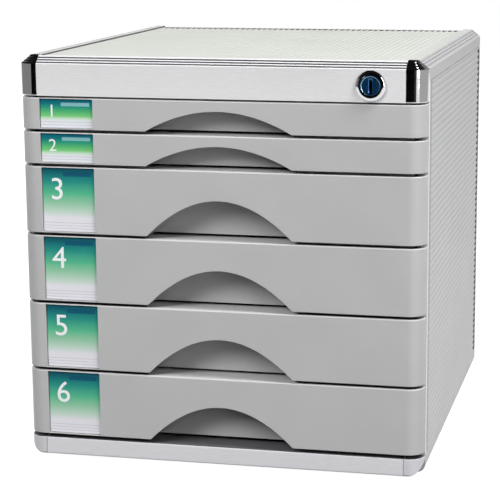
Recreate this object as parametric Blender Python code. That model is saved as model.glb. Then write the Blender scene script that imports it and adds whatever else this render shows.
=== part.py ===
"""Desktop file cabinet: six drawers in a ribbed silver case, all held by one key lock.

Lengths are metres. X runs to the right, Y from the front to the back, Z up. The
origin is on the floor, below the middle of the whole cabinet.
"""

import math

import bmesh
import bpy

# Clearances: between pieces that touch, and between pieces that move past each other
FIT_GAP = 0.0003
RUN_GAP = 0.0003
CUT_OVERRUN = 0.001

# Outer case
CASE_WIDTH = 0.300
CASE_DEPTH = 0.330
PANEL_THICKNESS = 0.003
FOOT_HEIGHT = 0.002
FOOT_RADIUS = 0.008
FOOT_INSET = 0.034

# Fine grooves that run from front to back on the top and the sides
RIB_PITCH = 0.005
RIB_GROOVE_WIDTH = 0.0014
RIB_GROOVE_DEPTH = 0.0006

# Top corner strips, whose bevel carries three fine grooves
STRIP_BEVEL_WIDTH = 0.0072
STRIP_BEVEL_HEIGHT = 0.0060
STRIP_TOP_FLAT = 0.0073
STRIP_SIDE_FLAT = 0.0085
STRIP_LIP_REACH = 0.008
STRIP_LIP_THICKNESS = 0.0015
BEVEL_GROOVE_SHARES = (0.19, 0.46, 0.73)
BEVEL_GROOVE_WIDTH = 0.0010
BEVEL_GROOVE_DEPTH = 0.0006

# Bottom corner strips
BOTTOM_RADIUS = 0.0125
BOTTOM_SIDE_FLAT = 0.0006
BOTTOM_UNDER_FLAT = 0.0015

# Front posts: the smooth upright band between the drawer fronts and the ribbed sides
POST_BAND_DEPTH = 0.0134
POST_LIP_REACH = 0.008

# Top rail with the lock, and bottom rail
RAIL_FACE_HEIGHT = 0.0231
RAIL_WALL = 0.0022
BOTTOM_LEDGE_DEPTH = 0.026
CAP_TONGUE_LENGTH = 0.010
CAP_TONGUE_DEPTH = 0.006

# Drawer fronts
THIN_FRONT_HEIGHT = 0.0237
DEEP_FRONT_HEIGHT = 0.0498
DRAWER_GAP = 0.0015
UPPER_GAP = 0.0009
LOWER_GAP = 0.0027
CORNER_RADIUS = 0.0120
FRONT_SIDE_INSET = 0.0004
FRONT_BOX_INSET = 0.0104
FRONT_BOX_DEPTH = 0.0245
FRONT_WALL = 0.0026
FRONT_TOP_ROUND = 0.0014
FRONT_BOTTOM_ROUND = 0.0008

# Finger pull: an arch in the front face over a hollow that curves down to the ledge
PULL_HALF_WIDTH = 0.0540
PULL_BACK_MARGIN = 0.0025
THIN_PULL_RISE = 0.0156
DEEP_PULL_RISE = 0.0277
PULL_WALL = 0.0018

# Label card behind a clear window at the left of each front
LABEL_WIDTH = 0.0405
LABEL_SIDE_OFFSET = 0.0165
LABEL_EDGE_MARGIN = 0.0010
CARD_THICKNESS = 0.0004
WINDOW_THICKNESS = 0.0009

# Drawer trays
TRAY_BAR_CLEAR = 0.0056
TRAY_WALL = 0.0016
TRAY_FLOOR = 0.0018
TRAY_TOP_DROP = 0.0012
TRAY_BACK_GAP = 0.0007
TRAY_CORNER_RADIUS = 0.005
TRAY_COVE = 0.003
TRAY_HOOK_WIDTH = 0.012
TRAY_HOOK_LENGTH = 0.006
TRAY_HOOK_OFFSET = 0.100
NUB_REACH = 0.0035
NUB_LENGTH = 0.004
NUB_HEIGHT = 0.004
NUB_BACK_OFFSET = 0.004
NUB_TOP_DROP = 0.004

# Runner frames inside the case
RUNNER_PLATE = 0.002
LEDGE_THICKNESS = 0.0018
LEDGE_OVERLAP = 0.005
STOP_LENGTH = 0.004
STOP_SETBACK = 0.049
STOP_TRAY_CLEAR = 0.0019
STOP_MARGIN = 0.0008
BOSS_SIZE = 0.008
BOSS_LENGTH = 0.018
BOSS_REACH = 0.0072

# Back panel and its screw holes
BACK_THICKNESS = 0.002
BACK_RECESS = 0.0021
SCREW_RADIUS = 0.0015
SCREW_LENGTH = 0.012
CROSS_SLOT_LENGTH = 0.0038
CROSS_SLOT_WIDTH = 0.0008
CROSS_SLOT_DEPTH = 0.0008

# Cam lock in the top rail
LOCK_SIDE_OFFSET = 0.0394
LOCK_BEZEL_RADIUS = 0.0110
LOCK_BEZEL_HEIGHT = 0.0026
LOCK_BEZEL_ROUND = 0.0010
LOCK_MOUTH_RADIUS = 0.0087
LOCK_BARREL_RADIUS = 0.0090
LOCK_BARREL_LENGTH = 0.0195
PLUG_HEAD_RADIUS = 0.0077
PLUG_HEAD_DEPTH = 0.0045
PLUG_BODY_RADIUS = 0.0060
PLUG_RECESS = 0.0006
KEY_SLOT_HEIGHT = 0.0088
KEY_SLOT_WIDTH = 0.0019
KEY_SLOT_DEPTH = 0.0120
NUT_ACROSS_FLATS = 0.0210
NUT_THICKNESS = 0.0035
NUT_SIDES = 6
LOCK_TURN = math.radians(90)
CAM_RADIUS = 0.0080
CAM_THICKNESS = 0.0020
CAM_PIN_RADIUS = 0.0015
CAM_PIN_THROW = 0.0050
CAM_SCREW_RADIUS = 0.0032
CAM_SCREW_HEIGHT = 0.0020
CAM_SCREW_SHANK = 0.0016
CAM_SCREW_LENGTH = 0.0060

# Locking bar: an upright strip in two lengths, with one tab per drawer and an arm to the lock
BAR_THICKNESS = 0.0020
BAR_WIDTH = 0.0100
BAR_GUIDE_WIDTH = 0.0025
BAR_GUIDE_CLEAR = 0.0003
BAR_LIP_REACH = 0.0020
BAR_LIP_THICKNESS = 0.0015
BAR_ARM_HEIGHT = 0.0090
BAR_ARM_OVERRUN = 0.0080
BAR_SLOT_CLEAR = 0.00045
BAR_END = 0.004
TAB_LENGTH = 0.0026
TAB_HEIGHT = 0.0040
TAB_TRAY_CLEAR = 0.0020
BAR_LAP = 0.0080
CATCH_HEIGHT = 0.0040
CATCH_LENGTH = 0.0030
CATCH_BAR_CLEAR = 0.0008
CATCH_RISE = 0.0020
CATCH_PLAY = 0.0007

# Smoothness of the round parts
ARC_STEPS = 6
EDGE_STEPS = 2
PULL_STEPS = 20
PULL_DEPTH_STEPS = 6
ROUND_STEPS = 40
SMALL_ROUND_STEPS = 20
SMOOTH_ANGLE = math.radians(32)

# Places that follow from the sizes above
STRIP_TOP_WIDTH = STRIP_BEVEL_WIDTH + STRIP_TOP_FLAT
STRIP_SIDE_HEIGHT = STRIP_BEVEL_HEIGHT + STRIP_SIDE_FLAT
BOTTOM_HEIGHT = BOTTOM_RADIUS + BOTTOM_SIDE_FLAT
BOTTOM_WIDTH = BOTTOM_RADIUS + BOTTOM_UNDER_FLAT
LIP_FACE = PANEL_THICKNESS + FIT_GAP
LIP_BACK = LIP_FACE + STRIP_LIP_THICKNESS
FRONT_HEIGHTS = (THIN_FRONT_HEIGHT,) * 2 + (DEEP_FRONT_HEIGHT,) * 4
DRAWER_COUNT = len(FRONT_HEIGHTS)
RAIL_BOTTOM = (
    BOTTOM_HEIGHT + LOWER_GAP + sum(FRONT_HEIGHTS) + (DRAWER_COUNT - 1) * DRAWER_GAP + UPPER_GAP
)
RAIL_TOP = RAIL_BOTTOM + RAIL_FACE_HEIGHT
CASE_HEIGHT = RAIL_TOP + STRIP_BEVEL_HEIGHT
HALF_WIDTH = CASE_WIDTH / 2
FRONT_Y = (LOCK_BEZEL_HEIGHT - CASE_DEPTH) / 2
BAND_FRONT = CORNER_RADIUS + FRONT_SIDE_INSET + FIT_GAP
PANEL_FRONT = BAND_FRONT + POST_BAND_DEPTH
BACK_OUTER = CASE_DEPTH - BACK_RECESS
BACK_INNER = BACK_OUTER - BACK_THICKNESS
PLATE_OUTER = LIP_BACK + FIT_GAP
PLATE_INNER = PLATE_OUTER + RUNNER_PLATE
PULL_DEPTH = FRONT_BOX_DEPTH - PULL_BACK_MARGIN
TRAY_FRONT = FRONT_BOX_DEPTH + FIT_GAP
TRAY_BACK = BACK_INNER - TRAY_BACK_GAP
TRAY_BOTTOM = LEDGE_THICKNESS + RUN_GAP
LOCK_X = HALF_WIDTH - LOCK_SIDE_OFFSET
LOCK_Z = FOOT_HEIGHT + RAIL_BOTTOM + RAIL_FACE_HEIGHT / 2
BARREL_BACK = LOCK_BARREL_LENGTH
CAM_FRONT = BARREL_BACK + RUN_GAP
CAM_BACK = CAM_FRONT + CAM_THICKNESS
CAM_SCREW_BACK = CAM_BACK + RUN_GAP + CAM_SCREW_HEIGHT
BAR_FRONT = max(CAM_SCREW_BACK, FRONT_BOX_DEPTH) + BAR_GUIDE_CLEAR
BAR_BACK = BAR_FRONT + BAR_WIDTH
BAR_OUTER = PLATE_INNER + RUN_GAP
BAR_INNER = BAR_OUTER + BAR_THICKNESS
HALF_TURN = LOCK_TURN / 2
PIN_RISE = CAM_PIN_THROW * math.sin(HALF_TURN)
PIN_SIDE = CAM_PIN_THROW * math.cos(HALF_TURN)
BAR_TRAVEL = 2 * PIN_RISE
TAB_BACK = BAR_FRONT + TAB_LENGTH
CATCH_FRONT = TAB_BACK + CATCH_PLAY
CATCH_BOTTOM = TRAY_BOTTOM + CATCH_RISE
TRAY_HALF = HALF_WIDTH - BAR_INNER - TRAY_BAR_CLEAR
NUB_BACK = TRAY_BACK - NUB_BACK_OFFSET
NUB_FRONT = NUB_BACK - NUB_LENGTH
LEDGE_FRONT = BAR_BACK + BAR_GUIDE_CLEAR + BAR_GUIDE_WIDTH
STOP_BACK = LEDGE_FRONT + STOP_SETBACK
DRAWER_TRAVEL = NUB_FRONT - STOP_BACK - RUN_GAP
LABEL_LEFT = LABEL_SIDE_OFFSET - HALF_WIDTH
LABEL_DEPTH = CARD_THICKNESS + WINDOW_THICKNESS + 2 * FIT_GAP


def front_bottoms():
    """Height of each drawer front's lower edge above the floor, from the top drawer down."""
    bottoms = []
    height = FOOT_HEIGHT + RAIL_BOTTOM - UPPER_GAP
    for front_height in FRONT_HEIGHTS:
        height -= front_height
        bottoms.append(height)
        height -= DRAWER_GAP
    return bottoms


def clear_scene():
    """Remove every object, so that the model starts from an empty scene."""
    for item in list(bpy.data.objects):
        bpy.data.objects.remove(item, do_unlink=True)


def make_material(name, colour, roughness, metallic=0.0, transmission=0.0):
    """A Principled material with one colour."""
    finish = bpy.data.materials.new(name)
    finish.use_nodes = True
    shader = finish.node_tree.nodes["Principled BSDF"]
    shader.inputs["Base Color"].default_value = (*colour, 1.0)
    shader.inputs["Roughness"].default_value = roughness
    shader.inputs["Metallic"].default_value = metallic
    shader.inputs["Transmission Weight"].default_value = transmission
    return finish


def make_finishes():
    """One finish for each kind of surface on the cabinet."""
    return {
        "ribbed_panel": make_material("ribbed_panel", (0.72, 0.73, 0.70), 0.42, 0.35),
        "case_strip": make_material("case_strip", (0.68, 0.69, 0.66), 0.38, 0.45),
        "rail": make_material("rail", (0.70, 0.70, 0.72), 0.34, 0.55),
        "chrome": make_material("chrome", (0.86, 0.86, 0.88), 0.07, 1.0),
        "end_block": make_material("end_block", (0.45, 0.45, 0.48), 0.45),
        "drawer_grey": make_material("drawer_grey", (0.43, 0.43, 0.43), 0.48),
        "tray_grey": make_material("tray_grey", (0.36, 0.36, 0.37), 0.55),
        "inner_plastic": make_material("inner_plastic", (0.30, 0.30, 0.31), 0.6),
        "card": make_material("card", (0.20, 0.52, 0.48), 0.7),
        "window": make_material("window", (0.95, 0.97, 0.97), 0.05, 0.0, 0.9),
        "lock_blue": make_material("lock_blue", (0.02, 0.12, 0.28), 0.25, 0.9),
        "steel": make_material("steel", (0.55, 0.55, 0.56), 0.35, 1.0),
        "rubber": make_material("rubber", (0.03, 0.03, 0.03), 0.9),
    }


def mesh_from(name, shape):
    """Turn an edit mesh into a mesh whose faces all point out."""
    bmesh.ops.recalc_face_normals(shape, faces=shape.faces)
    mesh = bpy.data.meshes.new(name)
    shape.to_mesh(mesh)
    shape.free()
    return mesh


def add_object(name, mesh, finish, location=(0.0, 0.0, 0.0), parent=None, smooth=False):
    """Put a mesh into the scene as one named sub-part."""
    if finish and not mesh.materials:
        mesh.materials.append(finish)
    if smooth:
        mesh.shade_smooth()
        mesh.set_sharp_from_angle(angle=SMOOTH_ANGLE)
    item = bpy.data.objects.new(name, mesh)
    bpy.context.scene.collection.objects.link(item)
    item.location = location
    item.parent = parent
    return item


def add_pivot(name, location):
    """An empty on a joint's axis, which carries one moving group."""
    pivot = bpy.data.objects.new(name, None)
    pivot.empty_display_size = FRONT_BOX_DEPTH
    bpy.context.scene.collection.objects.link(pivot)
    pivot.location = location
    return pivot


def loft(rings):
    """A closed solid through rings of points, all with the same number of points."""
    shape = bmesh.new()
    loops = [[shape.verts.new(point) for point in ring] for ring in rings]
    count = len(loops[0])
    for lower, upper in zip(loops, loops[1:]):
        for index in range(count):
            after = (index + 1) % count
            shape.faces.new((lower[index], lower[after], upper[after], upper[index]))
    shape.faces.new(loops[0])
    shape.faces.new(loops[-1])
    return shape


def prism(outline, axis, start, end):
    """Extrude an outline along one axis.

    The outline's points hold the two other coordinates, in the order x, y, z.
    """
    places = {
        "x": lambda first, second, level: (level, first, second),
        "y": lambda first, second, level: (first, level, second),
        "z": lambda first, second, level: (first, second, level),
    }
    place = places[axis]
    return loft([[place(first, second, level) for first, second in outline] for level in (start, end)])


def box(low, high):
    """A rectangular solid between two corners."""
    outline = [(low[0], low[1]), (high[0], low[1]), (high[0], high[1]), (low[0], high[1])]
    return prism(outline, "z", low[2], high[2])


def arc(centre_a, centre_b, radius_a, radius_b, start, end, steps=ARC_STEPS):
    """Points on an arc, by angle in degrees, first and last included."""
    points = []
    for step in range(steps + 1):
        angle = math.radians(start + (end - start) * step / steps)
        points.append((centre_a + radius_a * math.cos(angle), centre_b + radius_b * math.sin(angle)))
    return points


def circle(centre_a, centre_b, radius, steps=ROUND_STEPS):
    """The points of a circle, each once."""
    return arc(centre_a, centre_b, radius, radius, 0, 360, steps)[:-1]


def turned(profile, steps=ROUND_STEPS):
    """A solid of revolution about the Y axis, from (radius, y) points off the axis."""
    shape = bmesh.new()
    rings = [[shape.verts.new((x, y, z)) for x, z in circle(0, 0, radius, steps)] for radius, y in profile]
    for first, second in zip(rings, rings[1:] + rings[:1]):
        for index in range(steps):
            after = (index + 1) % steps
            shape.faces.new((first[index], first[after], second[after], second[index]))
    return shape


def turned_solid(profile, steps=ROUND_STEPS):
    """A solid of revolution about the Y axis, closed by a flat disc at each end."""
    return loft([[(x, y, z) for x, z in circle(0, 0, radius, steps)] for radius, y in profile])


def combine(mesh, operation, *shapes):
    """Apply one exact Boolean for each shape to a mesh and return the result."""
    for shape in shapes:
        base = add_object("base", mesh, None)
        tool = add_object("tool", mesh_from("tool", shape), None)
        step = base.modifiers.new("step", "BOOLEAN")
        step.operation = operation
        step.solver = "EXACT"
        step.object = tool
        evaluated = base.evaluated_get(bpy.context.evaluated_depsgraph_get())
        mesh = bpy.data.meshes.new_from_object(evaluated)
        bpy.data.objects.remove(base, do_unlink=True)
        bpy.data.objects.remove(tool, do_unlink=True)
    return mesh


def several(shapes):
    """Gather separate solids into one edit mesh, as one Boolean's tool."""
    gathered = bmesh.new()
    for shape in shapes:
        part = mesh_from("part", shape)
        gathered.from_mesh(part)
        bpy.data.meshes.remove(part)
    return gathered


def groove_points(start, end, centres, half_width, depth):
    """Points along a straight edge from start to end, with V grooves cut to its right."""
    run = (end[0] - start[0], end[1] - start[1])
    length = math.hypot(*run)
    along = (run[0] / length, run[1] / length)
    inward = (along[1], -along[0])
    points = []
    for centre in centres:
        for shift, sink in ((-half_width, 0.0), (0.0, depth), (half_width, 0.0)):
            reach = centre + shift
            points.append(
                (
                    start[0] + along[0] * reach + inward[0] * sink,
                    start[1] + along[1] * reach + inward[1] * sink,
                )
            )
    return points


def rib_centres(length):
    """Centres of the fine grooves across a panel, evenly set about its middle."""
    count = int(length / RIB_PITCH)
    first = (length - (count - 1) * RIB_PITCH) / 2
    return [first + index * RIB_PITCH for index in range(count)]


def ribbed_outline(start, end, inner_end, inner_start):
    """A panel's cross-section, with grooves along the edge from start to end."""
    length = math.dist(start, end)
    grooves = groove_points(start, end, rib_centres(length), RIB_GROOVE_WIDTH / 2, RIB_GROOVE_DEPTH)
    return [start, *grooves, end, inner_end, inner_start]


def bevel_grooves(start, end):
    """The three fine grooves on a bevel that runs from start to end."""
    length = math.dist(start, end)
    centres = [share * length for share in BEVEL_GROOVE_SHARES]
    return groove_points(start, end, centres, BEVEL_GROOVE_WIDTH / 2, BEVEL_GROOVE_DEPTH)


def mirrored(outline, side):
    """An outline drawn for the right side, turned over for the left side."""
    if side > 0:
        return outline
    return [(-a, b) for a, b in reversed(outline)]


def build_top_panel(finishes):
    """The ribbed top between the two corner strips."""
    edge = HALF_WIDTH - STRIP_TOP_WIDTH - FIT_GAP
    top = FOOT_HEIGHT + CASE_HEIGHT
    under = top - PANEL_THICKNESS
    outline = ribbed_outline((-edge, top), (edge, top), (edge, under), (-edge, under))
    front = FRONT_Y + STRIP_BEVEL_WIDTH + FIT_GAP
    shape = prism(outline, "y", front, FRONT_Y + CASE_DEPTH)
    add_object("top_panel", mesh_from("top_panel", shape), finishes["ribbed_panel"])


def build_side_panels(finishes):
    """The two ribbed sides between the top and bottom strips."""
    low = FOOT_HEIGHT + BOTTOM_HEIGHT + FIT_GAP
    high = FOOT_HEIGHT + CASE_HEIGHT - STRIP_SIDE_HEIGHT - FIT_GAP
    inner = HALF_WIDTH - PANEL_THICKNESS
    outline = ribbed_outline((HALF_WIDTH, high), (HALF_WIDTH, low), (inner, low), (inner, high))
    for name, side in (("right_side_panel", 1), ("left_side_panel", -1)):
        front = FRONT_Y + PANEL_FRONT + FIT_GAP
        shape = prism(mirrored(outline, side), "y", front, FRONT_Y + CASE_DEPTH)
        add_object(name, mesh_from(name, shape), finishes["ribbed_panel"])


def top_strip_outline():
    """The right top corner strip: a bevelled angle with a lip behind each panel."""
    side = HALF_WIDTH
    top = FOOT_HEIGHT + CASE_HEIGHT
    bevel_top = (side - STRIP_BEVEL_WIDTH, top)
    bevel_foot = (side, top - STRIP_BEVEL_HEIGHT)
    top_edge = side - STRIP_TOP_WIDTH
    side_edge = top - STRIP_SIDE_HEIGHT
    return [
        (top_edge, top),
        bevel_top,
        *bevel_grooves(bevel_top, bevel_foot),
        bevel_foot,
        (side, side_edge),
        (side - LIP_FACE, side_edge),
        (side - LIP_FACE, side_edge - STRIP_LIP_REACH),
        (side - LIP_BACK, side_edge - STRIP_LIP_REACH),
        (side - LIP_BACK, top - STRIP_BEVEL_HEIGHT),
        (side - STRIP_BEVEL_WIDTH, top - LIP_BACK),
        (top_edge - STRIP_LIP_REACH, top - LIP_BACK),
        (top_edge - STRIP_LIP_REACH, top - LIP_FACE),
        (top_edge, top - LIP_FACE),
    ]


def bottom_strip_outline():
    """The right bottom corner strip: a round corner with a lip behind each panel."""
    side = HALF_WIDTH
    floor = FOOT_HEIGHT
    centre_x = side - BOTTOM_RADIUS
    centre_z = floor + BOTTOM_RADIUS
    inner = BOTTOM_RADIUS - LIP_BACK
    side_edge = floor + BOTTOM_HEIGHT
    under_edge = side - BOTTOM_WIDTH
    return [
        (side, side_edge),
        *arc(centre_x, centre_z, BOTTOM_RADIUS, BOTTOM_RADIUS, 0, -90),
        (under_edge, floor),
        (under_edge, floor + LIP_FACE),
        (under_edge - STRIP_LIP_REACH, floor + LIP_FACE),
        (under_edge - STRIP_LIP_REACH, floor + LIP_BACK),
        *arc(centre_x, centre_z, inner, inner, -90, 0),
        (side - LIP_BACK, side_edge + STRIP_LIP_REACH),
        (side - LIP_FACE, side_edge + STRIP_LIP_REACH),
        (side - LIP_FACE, side_edge),
    ]


def build_corner_strips(finishes):
    """Four strips that run from front to back and hold the panels' edges."""
    start = FRONT_Y + BAND_FRONT
    end = FRONT_Y + CASE_DEPTH
    for place, outline in (("top", top_strip_outline()), ("bottom", bottom_strip_outline())):
        for hand, side in (("right", 1), ("left", -1)):
            name = f"{place}_{hand}_corner_strip"
            mesh = mesh_from(name, prism(mirrored(outline, side), "y", start, end))
            add_object(name, mesh, finishes["case_strip"], smooth=True)


def build_posts(finishes):
    """Upright posts whose outer band shows beside the drawer fronts."""
    low = FOOT_HEIGHT + BOTTOM_HEIGHT + FIT_GAP
    high = FOOT_HEIGHT + CASE_HEIGHT - STRIP_SIDE_HEIGHT - FIT_GAP
    lip_low = low + STRIP_LIP_REACH + FIT_GAP
    lip_high = high - STRIP_LIP_REACH - FIT_GAP
    front = FRONT_Y + BAND_FRONT
    back = FRONT_Y + PANEL_FRONT
    for hand, side in (("right", 1), ("left", -1)):
        name = f"{hand}_front_post"
        outer = sorted((side * HALF_WIDTH, side * (HALF_WIDTH - PANEL_THICKNESS)))
        inner = sorted((side * (HALF_WIDTH - LIP_FACE), side * (HALF_WIDTH - LIP_BACK)))
        core = sorted((side * (HALF_WIDTH - PANEL_THICKNESS / 2), side * (HALF_WIDTH - LIP_BACK)))
        band = mesh_from(name, box((outer[0], front, low), (outer[1], back, high)))
        web = box((core[0], front, lip_low), (core[1], back - FIT_GAP, lip_high))
        lip = box((inner[0], front + FIT_GAP, lip_low), (inner[1], back + POST_LIP_REACH, lip_high))
        mesh = combine(band, "UNION", web, lip)
        add_object(name, mesh, finishes["case_strip"])


def top_rail_outline():
    """Cross-section of the top rail, as (y, z): face, grooved bevel and a lip under the top panel."""
    low = FOOT_HEIGHT + RAIL_BOTTOM
    face_top = FOOT_HEIGHT + RAIL_TOP
    top = FOOT_HEIGHT + CASE_HEIGHT
    bevel_back = STRIP_BEVEL_WIDTH
    lip_end = FRONT_Y + BAND_FRONT - FIT_GAP
    return [
        (FRONT_Y, low),
        (FRONT_Y, face_top),
        *bevel_grooves((FRONT_Y, face_top), (FRONT_Y + bevel_back, top)),
        (FRONT_Y + bevel_back, top),
        (FRONT_Y + bevel_back, top - LIP_FACE),
        (lip_end, top - LIP_FACE),
        (lip_end, top - LIP_BACK),
        (FRONT_Y + bevel_back, top - LIP_BACK),
        (FRONT_Y + RAIL_WALL, face_top),
        (FRONT_Y + RAIL_WALL, low),
    ]


def build_top_rail(finishes):
    """The top rail between the two chrome caps, bored for the lock."""
    edge = HALF_WIDTH - STRIP_TOP_WIDTH - FIT_GAP
    rail = mesh_from("front_top_rail", prism(top_rail_outline(), "x", -edge, edge))
    hole = prism(
        circle(LOCK_X, LOCK_Z, LOCK_BARREL_RADIUS + FIT_GAP),
        "y",
        FRONT_Y - CUT_OVERRUN,
        FRONT_Y + RAIL_WALL + CUT_OVERRUN,
    )
    add_object("front_top_rail", combine(rail, "DIFFERENCE", hole), finishes["rail"])


def build_bottom_rail(finishes):
    """The bottom rail: face, a deep ledge under the lowest drawer and a lip over the bottom panel."""
    edge = HALF_WIDTH - BOTTOM_WIDTH - FIT_GAP
    low = FOOT_HEIGHT
    top = low + BOTTOM_HEIGHT
    foot_end = FRONT_Y + STRIP_BEVEL_WIDTH
    lip_end = FRONT_Y + BAND_FRONT - FIT_GAP
    outline = [
        (FRONT_Y, low),
        (FRONT_Y, top),
        (FRONT_Y + BOTTOM_LEDGE_DEPTH, top),
        (FRONT_Y + BOTTOM_LEDGE_DEPTH, top - RAIL_WALL),
        (FRONT_Y + RAIL_WALL, top - RAIL_WALL),
        (FRONT_Y + RAIL_WALL, low + LIP_BACK),
        (lip_end, low + LIP_BACK),
        (lip_end, low + LIP_FACE),
        (foot_end, low + LIP_FACE),
        (foot_end, low),
    ]
    mesh = mesh_from("front_bottom_rail", prism(outline, "x", -edge, edge))
    add_object("front_bottom_rail", mesh, finishes["rail"])


def cap_ring(inset, height, wall=0.0):
    """One level of a top cap: the plan of its round corner, drawn in by the inset."""
    inner = HALF_WIDTH - STRIP_TOP_WIDTH
    centre_x = HALF_WIDTH - CORNER_RADIUS
    centre_y = FRONT_Y + CORNER_RADIUS
    radius = CORNER_RADIUS - inset - wall
    back = FRONT_Y + BAND_FRONT - FIT_GAP
    start = inner - (CUT_OVERRUN if wall else 0.0)
    end = back + (CUT_OVERRUN if wall else 0.0)
    corner = arc(centre_x, centre_y, radius, radius, -90, 0)
    plan = [(start, corner[0][1]), *corner, (corner[-1][0], end), (start, end)]
    return [(x, y, height) for x, y in plan]


def cap_levels():
    """Inset and height of each level up a top cap, with the bevel's three grooves."""
    low = FOOT_HEIGHT + RAIL_BOTTOM
    face_top = FOOT_HEIGHT + RAIL_TOP
    top = FOOT_HEIGHT + CASE_HEIGHT
    bevel = [(inset, height) for inset, height in bevel_grooves((0.0, face_top), (STRIP_BEVEL_WIDTH, top))]
    return [(0.0, low), (0.0, face_top), *bevel, (STRIP_BEVEL_WIDTH, top)]


def build_caps(finishes):
    """Chrome caps that close the top rail's ends and turn the corner."""
    low = FOOT_HEIGHT + RAIL_BOTTOM
    inner = HALF_WIDTH - STRIP_TOP_WIDTH
    cavity_top = FOOT_HEIGHT + RAIL_TOP - RAIL_WALL
    for hand, side in (("right", 1), ("left", -1)):
        name = f"top_{hand}_cap"
        body = mesh_from(name, loft([cap_ring(inset, height) for inset, height in cap_levels()]))
        cavity = loft([cap_ring(0.0, height, RAIL_WALL) for height in (low + RAIL_WALL, cavity_top)])
        tongue_y = FRONT_Y + RAIL_WALL + FIT_GAP
        tongue = box(
            (inner - CAP_TONGUE_LENGTH, tongue_y, low + RAIL_WALL),
            (HALF_WIDTH - CORNER_RADIUS, tongue_y + CAP_TONGUE_DEPTH, cavity_top - RAIL_WALL),
        )
        mesh = combine(body, "DIFFERENCE", cavity)
        floor = box(
            (inner, tongue_y, low + RAIL_WALL / 2),
            (HALF_WIDTH - CORNER_RADIUS, tongue_y + CAP_TONGUE_DEPTH, low + 2 * RAIL_WALL),
        )
        mesh = combine(mesh, "UNION", floor, tongue)
        turn_to_side(mesh, side)
        add_object(name, mesh, finishes["chrome"], smooth=True)


def turn_to_side(mesh, side):
    """Turn a mesh made for the right side over for the left side."""
    if side > 0:
        return
    shape = bmesh.new()
    shape.from_mesh(mesh)
    for vertex in shape.verts:
        vertex.co.x = -vertex.co.x
    bmesh.ops.reverse_faces(shape, faces=shape.faces)
    shape.to_mesh(mesh)
    shape.free()


def end_block_ring(angle):
    """One level of a bottom end block, by the angle up its round lower corner."""
    inner = HALF_WIDTH - BOTTOM_WIDTH
    drop = BOTTOM_RADIUS * (1 - math.sin(angle))
    side = HALF_WIDTH - BOTTOM_RADIUS * (1 - math.cos(angle))
    back = FRONT_Y + BAND_FRONT - FIT_GAP
    width = side - inner - BOTTOM_UNDER_FLAT / 2
    corner = arc(side - width, FRONT_Y + CORNER_RADIUS, width, CORNER_RADIUS, -90, 0)
    return [(x, y, FOOT_HEIGHT + drop) for x, y in [(inner, FRONT_Y), *corner, (side, back), (inner, back)]]


def build_end_blocks(finishes):
    """Plastic blocks that close the bottom rail's ends and turn the corner."""
    inner = HALF_WIDTH - BOTTOM_WIDTH
    rings = [end_block_ring(math.radians(90) * (1 - step / ARC_STEPS)) for step in range(ARC_STEPS + 1)]
    rings.append([(x, y, FOOT_HEIGHT + BOTTOM_HEIGHT) for x, y, _ in rings[-1]])
    tongue_y = FRONT_Y + RAIL_WALL + FIT_GAP
    tongue_low = FOOT_HEIGHT + LIP_BACK + FIT_GAP
    tongue_high = FOOT_HEIGHT + BOTTOM_HEIGHT - RAIL_WALL - FIT_GAP
    for hand, side in (("right", 1), ("left", -1)):
        name = f"bottom_{hand}_end_block"
        tongue = box(
            (inner - CAP_TONGUE_LENGTH, tongue_y, tongue_low),
            (inner + BOTTOM_UNDER_FLAT, tongue_y + CAP_TONGUE_DEPTH, tongue_high),
        )
        mesh = combine(mesh_from(name, loft(rings)), "UNION", tongue)
        turn_to_side(mesh, side)
        add_object(name, mesh, finishes["end_block"], smooth=True)


def build_bottom_panel(finishes):
    """The flat bottom, whose edges lie under the strips' lips."""
    edge = HALF_WIDTH - BOTTOM_WIDTH - FIT_GAP
    front = FRONT_Y + STRIP_BEVEL_WIDTH + FIT_GAP
    shape = box(
        (-edge, front, FOOT_HEIGHT),
        (edge, FRONT_Y + CASE_DEPTH, FOOT_HEIGHT + PANEL_THICKNESS),
    )
    add_object("bottom_panel", mesh_from("bottom_panel", shape), finishes["inner_plastic"])


def screw_places():
    """Places of the four screw holes in the back, at the ledges of the second and the lowest drawer."""
    bottoms = front_bottoms()
    across = HALF_WIDTH - PLATE_INNER - BOSS_REACH / 2
    heights = {"upper": bottoms[1], "lower": bottoms[-1]}
    places = {}
    for level, height in heights.items():
        for hand, side in (("left", -1), ("right", 1)):
            places[f"{level}_{hand}"] = (side * across, height + LEDGE_THICKNESS / 2)
    return places


def build_back_panel(finishes):
    """The flat back, set in from the case's rear edges and bored for four screws."""
    side = HALF_WIDTH - LIP_BACK - FIT_GAP
    low = FOOT_HEIGHT + LIP_BACK + FIT_GAP
    high = FOOT_HEIGHT + CASE_HEIGHT - LIP_BACK - FIT_GAP
    cut = BOTTOM_RADIUS
    top_cut = STRIP_BEVEL_HEIGHT
    outline = [
        (-side + cut, low),
        (side - cut, low),
        (side, low + cut),
        (side, high - top_cut),
        (side - top_cut, high),
        (-side + top_cut, high),
        (-side, high - top_cut),
        (-side, low + cut),
    ]
    panel = mesh_from("back_panel", prism(outline, "y", FRONT_Y + BACK_INNER, FRONT_Y + BACK_OUTER))
    holes = [
        prism(
            circle(x, z, SCREW_RADIUS + FIT_GAP, SMALL_ROUND_STEPS),
            "y",
            FRONT_Y + BACK_INNER - CUT_OVERRUN,
            FRONT_Y + BACK_OUTER + CUT_OVERRUN,
        )
        for x, z in screw_places().values()
    ]
    add_object("back_panel", combine(panel, "DIFFERENCE", several(holes)), finishes["inner_plastic"])


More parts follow.
